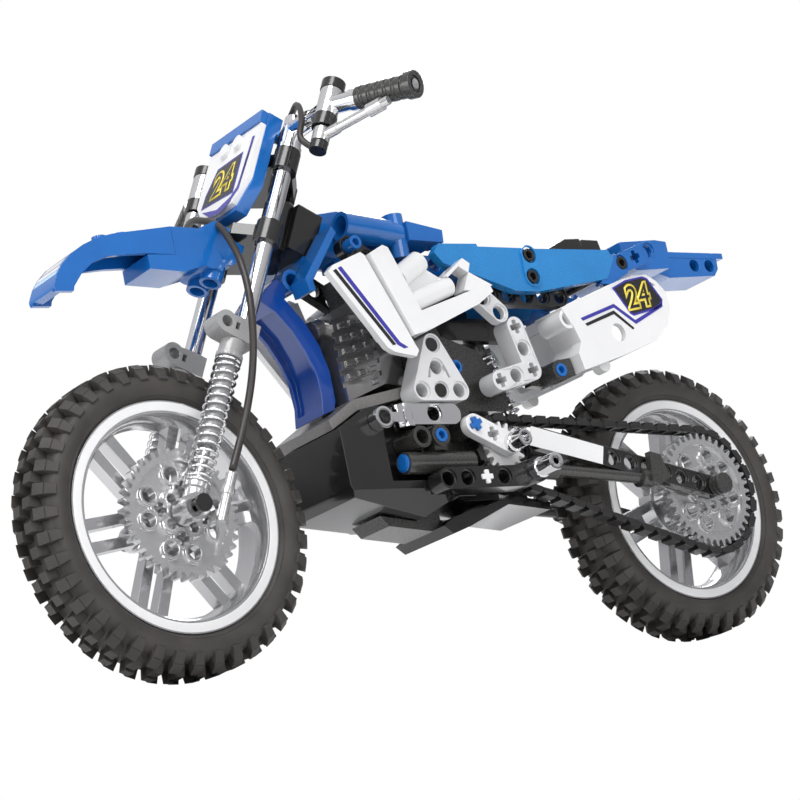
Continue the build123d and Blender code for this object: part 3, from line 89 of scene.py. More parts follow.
def plastic(name, col, rough=0.24, coat=0.35, scale=420.0, bump=0.06, vary=0.10, metal=0.0, spec=0.5, fine=2600.0):
    """Moulded plastic: soft colour drift, uneven gloss and a fine skin."""
    m, nt, b = new_mat(name)
    n = nt.nodes
    L = nt.links
    tc = n.new("ShaderNodeTexCoord")
    n1 = n.new("ShaderNodeTexNoise")
    n1.inputs["Scale"].default_value = scale * 0.14
    n1.inputs["Detail"].default_value = 3.0
    L.new(tc.outputs["Object"], n1.inputs["Vector"])
    n2 = n.new("ShaderNodeTexNoise")
    n2.inputs["Scale"].default_value = fine
    n2.inputs["Detail"].default_value = 2.0
    L.new(tc.outputs["Object"], n2.inputs["Vector"])
    ramp = n.new("ShaderNodeValToRGB")
    ramp.color_ramp.elements[0].position = 0.25
    ramp.color_ramp.elements[1].position = 0.75
    lo = [max(0.0, c * (1 - vary)) for c in col]
    hi = [min(1.0, c * (1 + vary)) for c in col]
    ramp.color_ramp.elements[0].color = (*lo, 1)
    ramp.color_ramp.elements[1].color = (*hi, 1)
    L.new(n1.outputs["Fac"], ramp.inputs["Fac"])
    L.new(ramp.outputs["Color"], b.inputs["Base Color"])
    mr = n.new("ShaderNodeMapRange")
    mr.inputs["From Min"].default_value = 0.3
    mr.inputs["From Max"].default_value = 0.7
    mr.inputs["To Min"].default_value = rough * 0.8
    mr.inputs["To Max"].default_value = rough * 1.25
    L.new(n2.outputs["Fac"], mr.inputs["Value"])
    L.new(mr.outputs["Result"], b.inputs["Roughness"])
    bp = n.new("ShaderNodeBump")
    bp.inputs["Strength"].default_value = bump
    bp.inputs["Distance"].default_value = 0.00012
    L.new(n2.outputs["Fac"], bp.inputs["Height"])
    L.new(bp.outputs["Normal"], b.inputs["Normal"])
    b.inputs["Metallic"].default_value = metal
    b.inputs["Specular IOR Level"].default_value = spec
    b.inputs["Coat Weight"].default_value = coat
    b.inputs["Coat Roughness"].default_value = 0.06
    return m


def rubber(name, col):
    m, nt, b = new_mat(name)
    n = nt.nodes
    L = nt.links
    tc = n.new("ShaderNodeTexCoord")
    n1 = n.new("ShaderNodeTexNoise")
    n1.inputs["Scale"].default_value = 90.0
    n1.inputs["Detail"].default_value = 6.0
    L.new(tc.outputs["Object"], n1.inputs["Vector"])
    n2 = n.new("ShaderNodeTexNoise")
    n2.inputs["Scale"].default_value = 1800.0
    n2.inputs["Detail"].default_value = 4.0
    L.new(tc.outputs["Object"], n2.inputs["Vector"])
    ramp = n.new("ShaderNodeValToRGB")
    ramp.color_ramp.elements[0].position = 0.3
    ramp.color_ramp.elements[1].position = 0.72
    ramp.color_ramp.elements[0].color = (*[c * 0.75 for c in col], 1)
    ramp.color_ramp.elements[1].color = (*[c * 1.35 for c in col], 1)
    L.new(n1.outputs["Fac"], ramp.inputs["Fac"])
    L.new(ramp.outputs["Color"], b.inputs["Base Color"])
    mr = n.new("ShaderNodeMapRange")
    mr.inputs["To Min"].default_value = 0.42
    mr.inputs["To Max"].default_value = 0.66
    L.new(n2.outputs["Fac"], mr.inputs["Value"])
    L.new(mr.outputs["Result"], b.inputs["Roughness"])
    bp = n.new("ShaderNodeBump")
    bp.inputs["Strength"].default_value = 0.22
    bp.inputs["Distance"].default_value = 0.00015
    L.new(n2.outputs["Fac"], bp.inputs["Height"])
    L.new(bp.outputs["Normal"], b.inputs["Normal"])
    b.inputs["Specular IOR Level"].default_value = 0.45
    b.inputs["Coat Weight"].default_value = 0.0
    return m


M = {
    "blue": plastic("blue_gloss", (0.006, 0.120, 0.420), rough=0.20, coat=0.5),
    "blue_light": plastic("blue_seat", (0.014, 0.190, 0.480), rough=0.24, coat=0.45),
    "blue_deep": plastic("blue_duct", (0.004, 0.045, 0.260), rough=0.15, coat=0.7),
    "white": plastic("white_gloss", (0.74, 0.74, 0.74), rough=0.22, coat=0.4, vary=0.03),
    "pearl": plastic("pearl_white", (0.62, 0.62, 0.63), rough=0.20, coat=0.55, vary=0.05),
    "black": plastic("black_gloss", (0.011, 0.0105, 0.010), rough=0.21, coat=0.4, vary=0.2),
    "dark": plastic("dark_grey", (0.035, 0.034, 0.032), rough=0.27, coat=0.3, vary=0.18),
    "mid": plastic("mid_grey", (0.16, 0.155, 0.15), rough=0.26, coat=0.35, vary=0.1),
    "lightgrey": plastic("light_grey", (0.30, 0.30, 0.30), rough=0.25, coat=0.4, vary=0.07),
    "silver": plastic("silver_paint", (0.60, 0.60, 0.60), rough=0.19, coat=0.3, vary=0.03, metal=0.8, bump=0.012),
    "rimsilver": plastic("rim_silver", (0.58, 0.58, 0.59), rough=0.17, coat=0.4, vary=0.04, metal=0.85, bump=0.015),
    "gunmetal": plastic("engine_silver", (0.34, 0.335, 0.33), rough=0.17, coat=0.4, vary=0.12, metal=0.9, bump=0.03),
    "chrome": plastic("chrome_skin", (0.80, 0.80, 0.81), rough=0.095, coat=0.0, vary=0.04, metal=1.0, bump=0.02),
    "hose": plastic("hose_skin", (0.018, 0.014, 0.012), rough=0.42, coat=0.1, vary=0.3, bump=0.2),
    "tyre": rubber("tyre_tread", (0.036, 0.032, 0.029)),
    "chain": plastic("chain_black", (0.014, 0.0135, 0.013), rough=0.36, coat=0.15, vary=0.25, bump=0.15),
    "violet": plastic("print_violet", (0.035, 0.030, 0.300), rough=0.28, coat=0.3, vary=0.08),
    "ink": plastic("print_black", (0.010, 0.010, 0.012), rough=0.28, coat=0.3, vary=0.2),
    "yellow": plastic("print_yellow", (0.78, 0.62, 0.05), rough=0.28, coat=0.3, vary=0.06),
    "skyline": plastic("print_sky", (0.45, 0.66, 0.86), rough=0.26, coat=0.4, vary=0.05),
}

NODE_MAT = {}


def assign(key, names):
    for nm in names.split():
        NODE_MAT[nm] = key


assign("blue", "blue_pins tank_top tank_sides seat_spine front_fender fender_bracket plate_frame tail_plate tail_beams")
assign("blue_light", "seat_panels")
assign("blue_deep", "mud_guard")
assign("white", "sprocket_carrier side_covers shrouds rear_boards number_plate drive_sprocket")
assign("pearl", "triangle_arms l_arms")
assign("black", "frame_rails black_pins crankcase skid_plate seat_pad steering_head fork_yokes reservoir_caps_and_posts lower_beams "
       "swingarm_beams swingarm_axles swingarm_inner_arms front_axle drive_axle")
assign("dark", "grips pin_connectors rear_axle gearbox swingarm_braces rear_shock_cylinder")
assign("mid", "cylinder_base")
assign("gunmetal", "cylinder_block")
assign("lightgrey", "fork_cylinders")
assign("silver", "front_brake_disc rear_sprocket fork_sliders clutch_lever brake_lever")
assign("rimsilver", "front_rim rear_rim")
assign("chrome", "chrome_beams foot_pegs fork_tubes fork_springs handlebar rear_shock_rod rear_shock_spring")
assign("hose", "brake_hose")
assign("tyre", "front_tyre rear_tyre")
assign("chain", "chain")


# ------------------------------------------------------------------ CAD nodes
REPLACED = {"front_tyre", "rear_tyre", "fork_springs", "rear_shock_spring", "chain", "brake_hose"}


def eval_box(o):
    dg = bpy.context.evaluated_depsgraph_get()
    ev = o.evaluated_get(dg)
    me = ev.to_mesh()
    n = len(me.vertices)
    lo = [9.0] * 3
    hi = [-9.0] * 3
    for v in me.vertices:
        for i in range(3):
            lo[i] = min(lo[i], v.co[i])
            hi[i] = max(hi[i], v.co[i])
    ev.to_mesh_clear()
    return lo, hi, n


BEVEL_SKIP = set()
for nm, o in NODES.items():
    o.data.materials.clear()
    o.data.materials.append(M[NODE_MAT.get(nm, "mid")])
    if nm in REPLACED:
        continue
    me = o.data
    if "custom_normal" in me.attributes:
        me.attributes.remove(me.attributes["custom_normal"])
    for p in me.polygons:
        p.use_smooth = True
    w = o.modifiers.new("weld", "WELD")
    w.merge_threshold = 0.000004
    bv = o.modifiers.new("round", "BEVEL")
    bv.width = 0.00020
    bv.segments = 2
    bv.limit_method = "ANGLE"
    bv.angle_limit = radians(38)
    bv.use_clamp_overlap = True
    bv.harden_normals = False
    wn = o.modifiers.new("shade", "WEIGHTED_NORMAL")
    wn.keep_sharp = True
    wn.weight = 60

bpy.context.view_layer.update()
for nm, o in NODES.items():
    if nm in REPLACED:
        continue
    lo0, hi0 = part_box(nm)
    lo, hi, n = eval_box(o)
    grow = max([lo0[i] - lo[i] for i in range(3)] + [hi[i] - hi0[i] for i in range(3)])
    if grow > 0.00012 or n == 0:
        BEVEL_SKIP.add(nm)
        o.modifiers.remove(o.modifiers["round"])
print("bevel left off", sorted(BEVEL_SKIP))


# ------------------------------------------------------------------ mesh helpers
def mesh_object(name, verts, faces, mat, smooth=False):
    me = bpy.data.meshes.new(name)
    me.from_pydata([tuple(v) for v in verts], [], faces)
    me.validate()
    me.update()
    o = bpy.data.objects.new(name, me)
    scene.collection.objects.link(o)
    me.materials.append(M[mat])
    if smooth:
        for p in me.polygons:
            p.use_smooth = True
    return o


def fix_normals(o):
    bm = bmesh.new()
    bm.from_mesh(o.data)
    bmesh.ops.recalc_face_normals(bm, faces=bm.faces)
    bm.to_mesh(o.data)
    bm.free()


def soften(o, width=0.00015, seg=2, angle=35):
    for p in o.data.polygons:
        p.use_smooth = True
    b = o.modifiers.new("round", "BEVEL")
    b.width = width
    b.segments = seg
    b.limit_method = "ANGLE"
    b.angle_limit = radians(angle)
    w = o.modifiers.new("shade", "WEIGHTED_NORMAL")
    w.keep_sharp = True
    return o


def slab_poly(name, pts, normal, thick, mat, lift=0.0):
    """Flat raised plate: polygon of 3-D points pushed out along normal."""
    nv = Vector(normal).normalized()
    base = [Vector(p) + nv * lift for p in pts]
    top = [p + nv * thick for p in base]
    n = len(pts)
    verts = base + top
    faces = [tuple(range(n))[::-1], tuple(range(n, 2 * n))]
    for i in range(n):
        j = (i + 1) % n
        faces.append((i, j, n + j, n + i))
    o = mesh_object(name, verts, faces, mat)
    fix_normals(o)
    return o


def tube(name, pts, r, mat, sides=14, closed=False):
    """Round sweep along a list of points using parallel transport."""
    P = [Vector(p) for p in pts]
    n = len(P)
    T = []
    for i in range(n):
        a = P[max(0, i - 1)]
        b = P[min(n - 1, i + 1)]
        T.append((b - a).normalized())
    up = Vector((0, 0, 1))
    if abs(T[0].dot(up)) > 0.9:
        up = Vector((1, 0, 0))
    N = (up - T[0] * up.dot(T[0])).normalized()
    verts = []
    for i in range(n):
        N = (N - T[i] * N.dot(T[i])).normalized()
        B = T[i].cross(N)
        for k in range(sides):
            a = 2 * math.pi * k / sides
            verts.append(P[i] + N * (r * math.cos(a)) + B * (r * math.sin(a)))
    faces = []
    for i in range(n - 1):
        for k in range(sides):
            k2 = (k + 1) % sides
            faces.append((i * sides + k, i * sides + k2, (i + 1) * sides + k2, (i + 1) * sides + k))
    faces.append(tuple(range(sides))[::-1])
    faces.append(tuple(range((n - 1) * sides, n * sides)))
    o = mesh_object(name, verts, faces, mat, smooth=True)
    fix_normals(o)
    return o


# ------------------------------------------------------------------ tyres
def tyre(name, cx, body, node, phase):
    RIM, BASE = 37.42, 47.0
    prof = [(37.45, -7.9), (38.3, -9.0), (39.4, -9.75), (41.2, -10.25), (43.0, -10.3), (44.4, -9.8), (45.4, -8.8), (46.1, -6.6),
            (46.5, -3.6), (46.6, 0.0),
            (46.5, 3.6), (46.1, 6.6), (45.4, 8.8), (44.4, 9.8), (43.0, 10.3), (41.2, 10.25), (39.4, 9.75), (38.3, 9.0), (37.45, 7.9)]
    seg = 180
    V = []
    Fc = []
    m = len(prof)

    def P(R, ang, y):
        return E(cx + R * math.cos(ang), y, 50.3 + R * math.sin(ang))

    for k in range(seg):
        a = 2 * math.pi * k / seg
        for R, y in prof:
            V.append(P(R, a, y))
    for k in range(seg):
        k2 = (k + 1) % seg
        for i in range(m):
            i2 = (i + 1) % m
            Fc.append((k * m + i, k * m + i2, k2 * m + i2, k2 * m + i))
    ncar = len(Fc)

    def block(corners_in, corners_out):
        b = len(V)
        V.extend(corners_in + corners_out)
        Fc.append((b + 3, b + 2, b + 1, b))
        Fc.append((b + 4, b + 5, b + 6, b + 7))
        for i in range(4):
            j = (i + 1) % 4
            Fc.append((b + i, b + j, b + 4 + j, b + 4 + i))

    rows = 40
    step = 2 * math.pi / rows
    for k in range(rows):
        a0 = phase + k * step
        # two middle blocks, slightly skewed, chevron-like
        for sgn in (-1, 1):
            aa = a0 + (0.10 * step * sgn)
            hl = 1.65 / 50.3
            hb = 2.0 / 47.0
            y0, y1 = 0.75 * sgn, 5.25 * sgn
            t0, t1 = 1.0 * sgn, 4.9 * sgn
            lo = [P(46.2, aa - hb, y0), P(46.2, aa + hb, y0), P(45.7, aa + hb, y1), P(45.7, aa - hb, y1)]
            hi = [P(50.2, aa - hl, t0), P(50.2, aa + hl, t0), P(50.05, aa + hl, t1), P(50.05, aa - hl, t1)]
            block(lo, hi)
        # shoulder blocks, half a pitch further round, wrapping down the side
        for sgn in (-1, 1):
            aa = a0 + step / 2
            hl = 1.85 / 49.0
            hb = 2.2 / 46.0
            y_in, y_mid, y_out = 5.9 * sgn, 9.2 * sgn, 10.72 * sgn
            # upper part of the block
            lo = [P(45.8, aa - hb, y_in), P(45.8, aa + hb, y_in), P(44.8, aa + hb, 9.0 * sgn), P(44.8, aa - hb, 9.0 * sgn)]
            hi = [P(49.85, aa - hl, 6.3 * sgn), P(49.85, aa + hl, 6.3 * sgn), P(47.75, aa + hl, 9.25 * sgn), P(47.75, aa - hl, 9.25 * sgn)]
            block(lo, hi)
            # side part of the block
            lo = [P(46.0, aa - hb, 8.2 * sgn), P(46.0, aa + hb, 8.2 * sgn), P(43.3, aa + hb * 0.85, 9.9 * sgn), P(43.3, aa - hb * 0.85, 9.9 * sgn)]
            hi = [P(47.45, aa - hl, 9.4 * sgn), P(47.45, aa + hl, 9.4 * sgn), P(43.9, aa + hl * 0.8, 10.9 * sgn), P(43.9, aa - hl * 0.8, 10.9 * sgn)]
            block(lo, hi)
    # one moulded ring on each sidewall
    for sgn in (-1, 1):
        for Rm, w, dy in ((38.9, 0.28, 0.25),):
            base = len(V)
            yb = 9.9 if Rm > 40 else 9.35
            ns = seg
            for k in range(ns):
                a = 2 * math.pi * k / ns
                V.append(P(Rm - w, a, (yb - 0.25) * sgn))
                V.append(P(Rm - w * 0.4, a, (yb + dy) * sgn))
                V.append(P(Rm + w * 0.4, a, (yb + dy) * sgn))
                V.append(P(Rm + w, a, (yb - 0.15) * sgn))
            for k in range(ns):
                k2 = (k + 1) % ns
                for i in range(3):
                    Fc.append((base + k * 4 + i, base + k * 4 + i + 1, base + k2 * 4 + i + 1, base + k2 * 4 + i))
    o = mesh_object(name, V, Fc, "tyre")
    fix_normals(o)
    for i, p in enumerate(o.data.polygons):
        p.use_smooth = True
    b = o.modifiers.new("round", "BEVEL")
    b.width = 0.00022
    b.segments = 2
    b.limit_method = "ANGLE"
    b.angle_limit = radians(32)
    w = o.modifiers.new("shade", "WEIGHTED_NORMAL")
    w.keep_sharp = True
    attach(o, body)
    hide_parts(node)
    return o


tyre("front_tyre_tread", 0.0, "front_wheel", "front_tyre", 0.03)
tyre("rear_tyre_tread", 220.0, "rear_wheel", "rear_tyre", 0.07)


# white rings over the flanges of the two rims: painted reflection, standing in for the chrome flanges mirroring the
# white surroundings
def rim_painted_reflection(name, cx, body):
    V = []
    Fc = []
    seg = 160
    for sgn in (-1, 1):
        base = len(V)
        prof = [(37.35, 7.6), (37.35, 8.35), (36.6, 8.62), (34.2, 8.62), (33.55, 8.2), (33.0, 7.4), (33.9, 7.2), (36.4, 7.2)]
        m = len(prof)
        for k in range(seg):
            a = 2 * math.pi * k / seg
            for R, y in prof:
                V.append(E(cx + R * math.cos(a), y * sgn, 50.3 + R * math.sin(a)))
        for k in range(seg):
            k2 = (k + 1) % seg
            for i in range(m):
                i2 = (i + 1) % m
                Fc.append((base + k * m + i, base + k * m + i2, base + k2 * m + i2, base + k2 * m + i))
    # white plastic ring on the flange: a painted reflection of the bright surroundings, not the rim's own colour
    o = mesh_object(name, V, Fc, "white")
    fix_normals(o)
    soften(o, 0.00012, 2, 30)
    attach(o, body)
    return o


rim_painted_reflection("front_rim_painted_reflection", 0.0, "front_wheel")
rim_painted_reflection("rear_rim_painted_reflection", 220.0, "rear_wheel")


# ------------------------------------------------------------------ springs
def helix(name, origin, axis, start, end, r_mid, wire, turns, mat, dead=0.9):
    """Wire coil from start to end along axis, with closed end turns."""
    ax = Vector(axis).normalized()
    side = Vector((0, 1, 0))
    u = (side - ax * side.dot(ax)).normalized()
    v = ax.cross(u)
    pts = []
    steps = int(turns * 26)
    for i in range(steps + 1):
        f = i / steps
        tt = f * turns
        # closed end turns: no pitch in the first and last part of the coil
        live = turns - 2 * dead
        if tt < dead:
            g = 0.0
        elif tt > turns - dead:
            g = 1.0
        else:
            g = (tt - dead) / live
        lo, hi = start + wire * 1.0, end - wire * 1.0
        if tt < dead:
            h = lo + wire * 1.1 * (tt / dead) * 0.5
        elif tt > turns - dead:
            h = hi - wire * 1.1 * ((turns - tt) / dead) * 0.5
        else:
            h = (lo + wire * 0.55) + (hi - lo - wire * 1.1) * g
        a = 2 * math.pi * tt
        pts.append(Vector(origin) + ax * (h / 1000.0) + (u * math.cos(a) + v * math.sin(a)) * (r_mid / 1000.0))
    return tube(name, pts, wire / 1000.0, mat, sides=8)


for sgn, tag in ((-1, "left"), (1, "right")):
    sp = helix("fork_coil_" + tag, E(0, 16.0 * sgn, 50.3), FD, 8.3, 53.7, 3.88, 0.52, 17, "chrome")
    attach(sp, "fork_lower")
    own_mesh(sp)
    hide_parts("fork_springs")

SE = Vector((-0.332748, 0.0, 0.943016))
rs = helix("shock_coil", E(157.802, 0, 65.382), SE, 8.1, 42.8, 4.05, 0.55, 12, "chrome")
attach(rs, "shock_rod")
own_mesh(rs)
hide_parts("rear_shock_spring")

# ------------------------------------------------------------------ hose and cable
HOSE = [(57.8, 38.4, 164.2), (50.8, 28.5, 162.6), (44.4, 17.4, 159.2), (40.9, 10.8, 157.0), (38.6, 4.0, 154.0), (37.2, -3.2, 150.6),
        (35.4, -10.4, 145.3), (33.7, -16.4, 138.0), (32.3, -21.0, 130.5), (31.2, -23.8, 121.5), (29.7, -25.2, 111.6),
        (27.9, -25.4, 100.6), (25.4, -25.0, 90.3), (21.8, -24.4, 80.0), (17.4, -24.0, 70.2), (12.2, -24.0, 60.2)]
CABLE = [(57.2, -37.6, 164.2), (55.4, -34.6, 169.0), (58.8, -32.8, 176.4), (62.6, -28.4, 182.8), (66.4, -22.0, 186.6), (69.0, -15.4, 186.2),
         (68.6, -10.6, 182.4), (65.6, -8.8, 178.2)]


def smooth_line(pts, n):
    """Catmull-Rom points through pts."""
    P = [Vector(p) for p in pts]
    P = [P[0] * 2 - P[1]] + P + [P[-1] * 2 - P[-2]]
    out = []
    for i in range(1, len(P) - 2):
        p0, p1, p2, p3 = P[i - 1], P[i], P[i + 1], P[i + 2]
        for k in range(n):
            t = k / n
            out.append(0.5 * ((2 * p1) + (p2 - p0) * t + (2 * p0 - 5 * p1 + 4 * p2 - p3) * t * t + (3 * p1 - p0 - 3 * p2 + p3) * t ** 3))
    out.append(P[-2])
    return out


hose = tube("brake_line", [E(*p) for p in smooth_line(HOSE, 8)], 0.00122, "hose", sides=16)
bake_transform(hose)
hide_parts("brake_hose")
cable = tube("clutch_line", [E(*p) for p in smooth_line(CABLE, 8)], 0.00108, "hose", sides=16)
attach(cable, "steering")
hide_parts("brake_hose")

# ------------------------------------------------------------------ chain
PX, PZ, R1, R2, AX, AZ = 128.0, 67.4, 9.35, 21.4, 220.0, 50.3


def loop(off):
    dx, dz = AX - PX, AZ - PZ
    cd = math.hypot(dx, dz)
    ca = math.atan2(dz, dx)
    r1, r2 = R1 + off, R2 + off
    b = math.asin((r2 - r1) / cd)
    pts = []
    a0 = ca + math.pi / 2 + b
    a1 = ca + 3 * math.pi / 2 - b
    for i in range(41):
        a = a0 + (a1 - a0) * i / 40
        pts.append((PX + r1 * math.cos(a), PZ + r1 * math.sin(a)))
    a0 = ca - math.pi / 2 - b
    a1 = ca + math.pi / 2 + b
    for i in range(81):
        a = a0 + (a1 - a0) * i / 80
        pts.append((AX + r2 * math.cos(a), AZ + r2 * math.sin(a)))
    return pts


def along(pts, n, shift=0.0):
    m = len(pts)
    seg = []
    tot = 0.0
    for i in range(m):
        a, b = pts[i], pts[(i + 1) % m]
        ll = math.hypot(b[0] - a[0], b[1] - a[1])
        seg.append((a, b, ll, tot))
        tot += ll
    out = []
    for k in range(n):
        d = (tot * (k + shift) / n) % tot
        for a, b, ll, s in seg:
            if s <= d < s + ll and ll > 1e-9:
                f = (d - s) / ll
                out.append((a[0] + f * (b[0] - a[0]), a[1] + f * (b[1] - a[1]), (b[0] - a[0]) / ll, (b[1] - a[1]) / ll))
                break
    return out, tot


def prism(V, Fc, quad, y0, y1):
    """Extrudes an x,z polygon between y0 and y1."""
    b = len(V)
    n = len(quad)
    for x, z in quad:
        V.append(E(x, y0, z))
    for x, z in quad:
        V.append(E(x, y1, z))
    Fc.append(tuple(range(b, b + n)))
    Fc.append(tuple(range(b + n, b + 2 * n))[::-1])
    for i in range(n):
        j = (i + 1) % n
        Fc.append((b + i, b + n + i, b + n + j, b + j))


def chain():
    V, Fc = [], []
    st, tot = along(loop(0.9), 46)
    pitch = tot / 46
    for x, z, tx, tz in st:
        nx, nz = tz, -tx
        hw = pitch * 0.36

        def q(a, o):
            return (x + tx * a + nx * o, z + tz * a + nz * o)

        # tread block, full width
        prism(V, Fc, [q(-hw, -0.15), q(hw, -0.15), q(hw * 0.88, 1.75), q(-hw * 0.88, 1.75)], -20.1, -14.5)
        # side plates of the link on both sides
        for y0, y1 in ((-20.15, -19.35), (-15.25, -14.45)):
            prism(V, Fc, [q(-pitch * 0.47, -0.85), q(pitch * 0.40, -0.85), q(pitch * 0.47, -0.45), q(pitch * 0.47, 0.35), q(pitch * 0.40, 0.75),
                          q(-pitch * 0.40, 0.75), q(-pitch * 0.47, 0.35)], y0, y1)
        # cross bar of the link
        prism(V, Fc, [q(pitch * 0.36, -0.75), q(pitch * 0.56, -0.75), q(pitch * 0.56, 0.45), q(pitch * 0.36, 0.45)], -19.4, -15.2)
    o = mesh_object("drive_chain", V, Fc, "chain")
    fix_normals(o)
    soften(o, 0.00014, 2, 35)
    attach(o, "swingarm")
    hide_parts("chain")
    return o


chain()


# ------------------------------------------------------------------ printed trim
def F_poly(name, pts, mat, t0, thick, body):
    """Raised print on the raked number plate; pts are (s, y)."""
    P = [F(s, t0, y) for s, y in pts]
    o = slab_poly(name, P, -FN, thick / 1000.0, mat)
    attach(o, body)
    return o


def S_poly(name, pts, mat, y, thick, body):
    """Raised print on a side face; pts are (x, z) and y is the face."""
    sgn = -1 if y < 0 else 1
    P = [E(x, y, z) for x, z in pts]
    o = slab_poly(name, P, (0, sgn, 0), thick / 1000.0, mat)
    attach(o, body)
    return o


def digits(name, text, centre, right, up, height, mat, body, extrude=0.00006, shear=0.0, offset=0.0, squeeze=1.0):
    cu = bpy.data.curves.new(name + "_curve", "FONT")
    cu.body = text
    cu.align_x = "CENTER"
    cu.align_y = "CENTER"
    cu.size = 1.0
    cu.shear = shear
    cu.offset = offset
    cu.extrude = 0.0
    cu.resolution_u = 6
    tmp = bpy.data.objects.new(name + "_font", cu)
    scene.collection.objects.link(tmp)
    bpy.context.view_layer.update()
    dg = bpy.context.evaluated_depsgraph_get()
    me = bpy.data.meshes.new_from_object(tmp.evaluated_get(dg))
    bpy.data.objects.remove(tmp)
    xs = [v.co.x for v in me.vertices]
    ys = [v.co.y for v in me.vertices]
    cx, cy = (min(xs) + max(xs)) / 2, (min(ys) + max(ys)) / 2
    R = Vector(right).normalized()
    U = Vector(up).normalized()
    Nn = R.cross(U).normalized()
    k = height / (max(ys) - min(ys))
    C = Vector(centre)
    bm = bmesh.new()
    bm.from_mesh(me)
    for v in bm.verts:
        a, b = (v.co.x - cx) * k * squeeze, (v.co.y - cy) * k
        v.co = C + R * a + U * b
    ret = bmesh.ops.extrude_face_region(bm, geom=bm.faces[:])
    for g in ret["geom"]:
        if isinstance(g, bmesh.types.BMVert):
            g.co = g.co + Nn * extrude
    bmesh.ops.recalc_face_normals(bm, faces=bm.faces)
    bm.to_mesh(me)
    bm.free()
    me.name = name
    o = bpy.data.objects.new(name, me)
    scene.collection.objects.link(o)
    me.materials.clear()
    me.materials.append(M[mat])
    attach(o, body)
    return o


TP = -9.45
T1 = 0.10
# number plate: violet frame, dark panel edge, slanted stripes and chevrons
F_poly("plate_patch_edge", [(133.9, 7.3), (134.3, -8.1), (117.5, -8.1), (119.0, 11.9), (124.6, 11.2)], "violet", TP, T1, "steering")
F_poly("plate_patch", [(133.2, 6.7), (133.6, -7.4), (118.1, -7.4), (119.5, 11.2), (124.4, 10.5)], "ink", TP - T1, 0.05, "steering")
F_poly("plate_stripe_left", [(138.6, -12.0), (138.4, -13.6), (118.9, -10.1), (114.0, -4.9), (112.2, 0.0), (111.6, -1.0), (113.0, -6.2), (117.6, -11.6)], "violet", TP, T1, "steering")
F_poly("plate_chevron_v", [(117.4, 10.6), (114.2, 0.4), (116.3, -7.6), (112.3, -3.6), (112.6, 4.0)], "violet", TP, T1 * 0.9, "steering")
F_poly("plate_chevron_b", [(113.9, 7.0), (111.9, 0.5), (114.2, -8.6), (110.9, -3.4), (111.3, 2.0)], "ink", TP, T1 * 0.8, "steering")
pc = F(126.2, TP - T1 - 0.05, 0.9)
digits("plate_number_glow", "24", pc, (0, -1, 0), FD, 0.0116, "yellow", "steering", extrude=0.00004, offset=0.07, squeeze=0.86)
digits("plate_number", "24", pc - FN * 0.00005, (0, -1, 0), FD, 0.0098, "ink", "steering", extrude=0.00006, squeeze=0.86)

# printed bands across the nose of the fender (outer skin)
def fender_band(name, a, b, y0, y1, mat):
    A, B = E(a[0], 0, a[1]), E(b[0], 0, b[1])
    t = (B - A).normalized()
    nv = Vector((-t.z, 0, t.x))
    if nv.x > 0:
        nv = -nv
    P = [A + Vector((0, y0 / 1000.0, 0)), B + Vector((0, y0 / 1000.0, 0)), B + Vector((0, y1 / 1000.0, 0)), A + Vector((0, y1 / 1000.0, 0))]
    o = slab_poly(name, [p + nv * 0.00001 for p in P], nv, 0.00012, mat)
    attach(o, "steering")


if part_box("front_fender")[0].x > E(-35.0, 0, 0).x:
    fender_band("fender_band_sky", (-28.2, 129.08), (-27.2, 130.5), -6.9, 6.9, "skyline")
    fender_band("fender_band_white_2", (-27.0, 130.78), (-26.1, 132.06), -6.9, 6.9, "white")
    fender_band("fender_band_white_3", (-25.6, 132.58), (-22.9, 135.13), -5.4, 5.4, "white")

# rear side boards
for sgn, tag in ((-1, "left"), (1, "right")):
    yb = 27.62 * sgn
    S_poly("board_edge_" + tag, [(187.2, 123.4), (194.4, 126.5), (203.2, 128.2), (205.6, 127.6), (211.0, 119.6), (210.4, 117.7), (206.8, 115.8), (195.0, 113.0), (193.4, 113.7)],
           "violet", yb, 0.10, "frame")
    S_poly("board_patch_" + tag, [(188.2, 123.1), (194.6, 125.8), (202.8, 127.5), (205.0, 126.9), (210.2, 119.5), (209.6, 118.4), (206.6, 116.6), (195.2, 113.8), (194.0, 114.3)],
           "ink", yb + 0.10 * sgn, 0.05, "frame")
    S_poly("board_stripe_v_" + tag, [(168.8, 111.6), (169.6, 110.6), (186.0, 115.9), (195.1, 109.9), (210.4, 116.9), (210.2, 118.0), (195.1, 111.4), (186.2, 117.3)],
           "violet", yb, 0.10, "frame")
    S_poly("board_stripe_b_" + tag, [(170.4, 109.6), (171.2, 108.7), (185.3, 113.4), (193.0, 107.8), (193.8, 108.4), (185.5, 114.8)],
           "ink", yb, 0.10, "frame")
    c = E(198.7, (27.62 + 0.16) * sgn, 120.6)
    right = Vector((0.985, 0, 0.17)) * (-sgn)
    right.y = 0
    up = Vector((-0.17, 0, 0.985))
    if sgn > 0:
        up = Vector((-0.17, 0, 0.985))
    digits("board_number_glow_" + tag, "24", c, right, up, 0.0099, "yellow", "frame", extrude=0.00004, offset=0.07, shear=0.15)
    digits("board_number_" + tag, "24", c + Vector((0, 0.00005 * sgn, 0)), right, up, 0.0083, "ink", "frame", extrude=0.00006, shear=0.15)
    ys = 28.02 * sgn
    S_poly("shroud_stripe_b_" + tag, [(63.3, 125.6), (64.6, 126.3), (83.4, 100.6), (82.0, 100.2)], "ink", ys, 0.10, "frame")
    S_poly("shroud_stripe_v_" + tag, [(65.4, 126.6), (66.9, 127.3), (85.2, 101.4), (88.3, 99.6), (86.4, 99.2), (84.0, 100.4)], "violet", ys, 0.10, "frame")

# pale bands on the two swingarm side beams
for sgn, tag in ((-1, "left"), (1, "right")):
    S_poly("swingarm_label_" + tag, [(138.1, 73.4), (169.6, 65.7), (167.5, 59.3), (136.0, 66.6)], "white", 24.02 * sgn, 0.12, "swingarm")

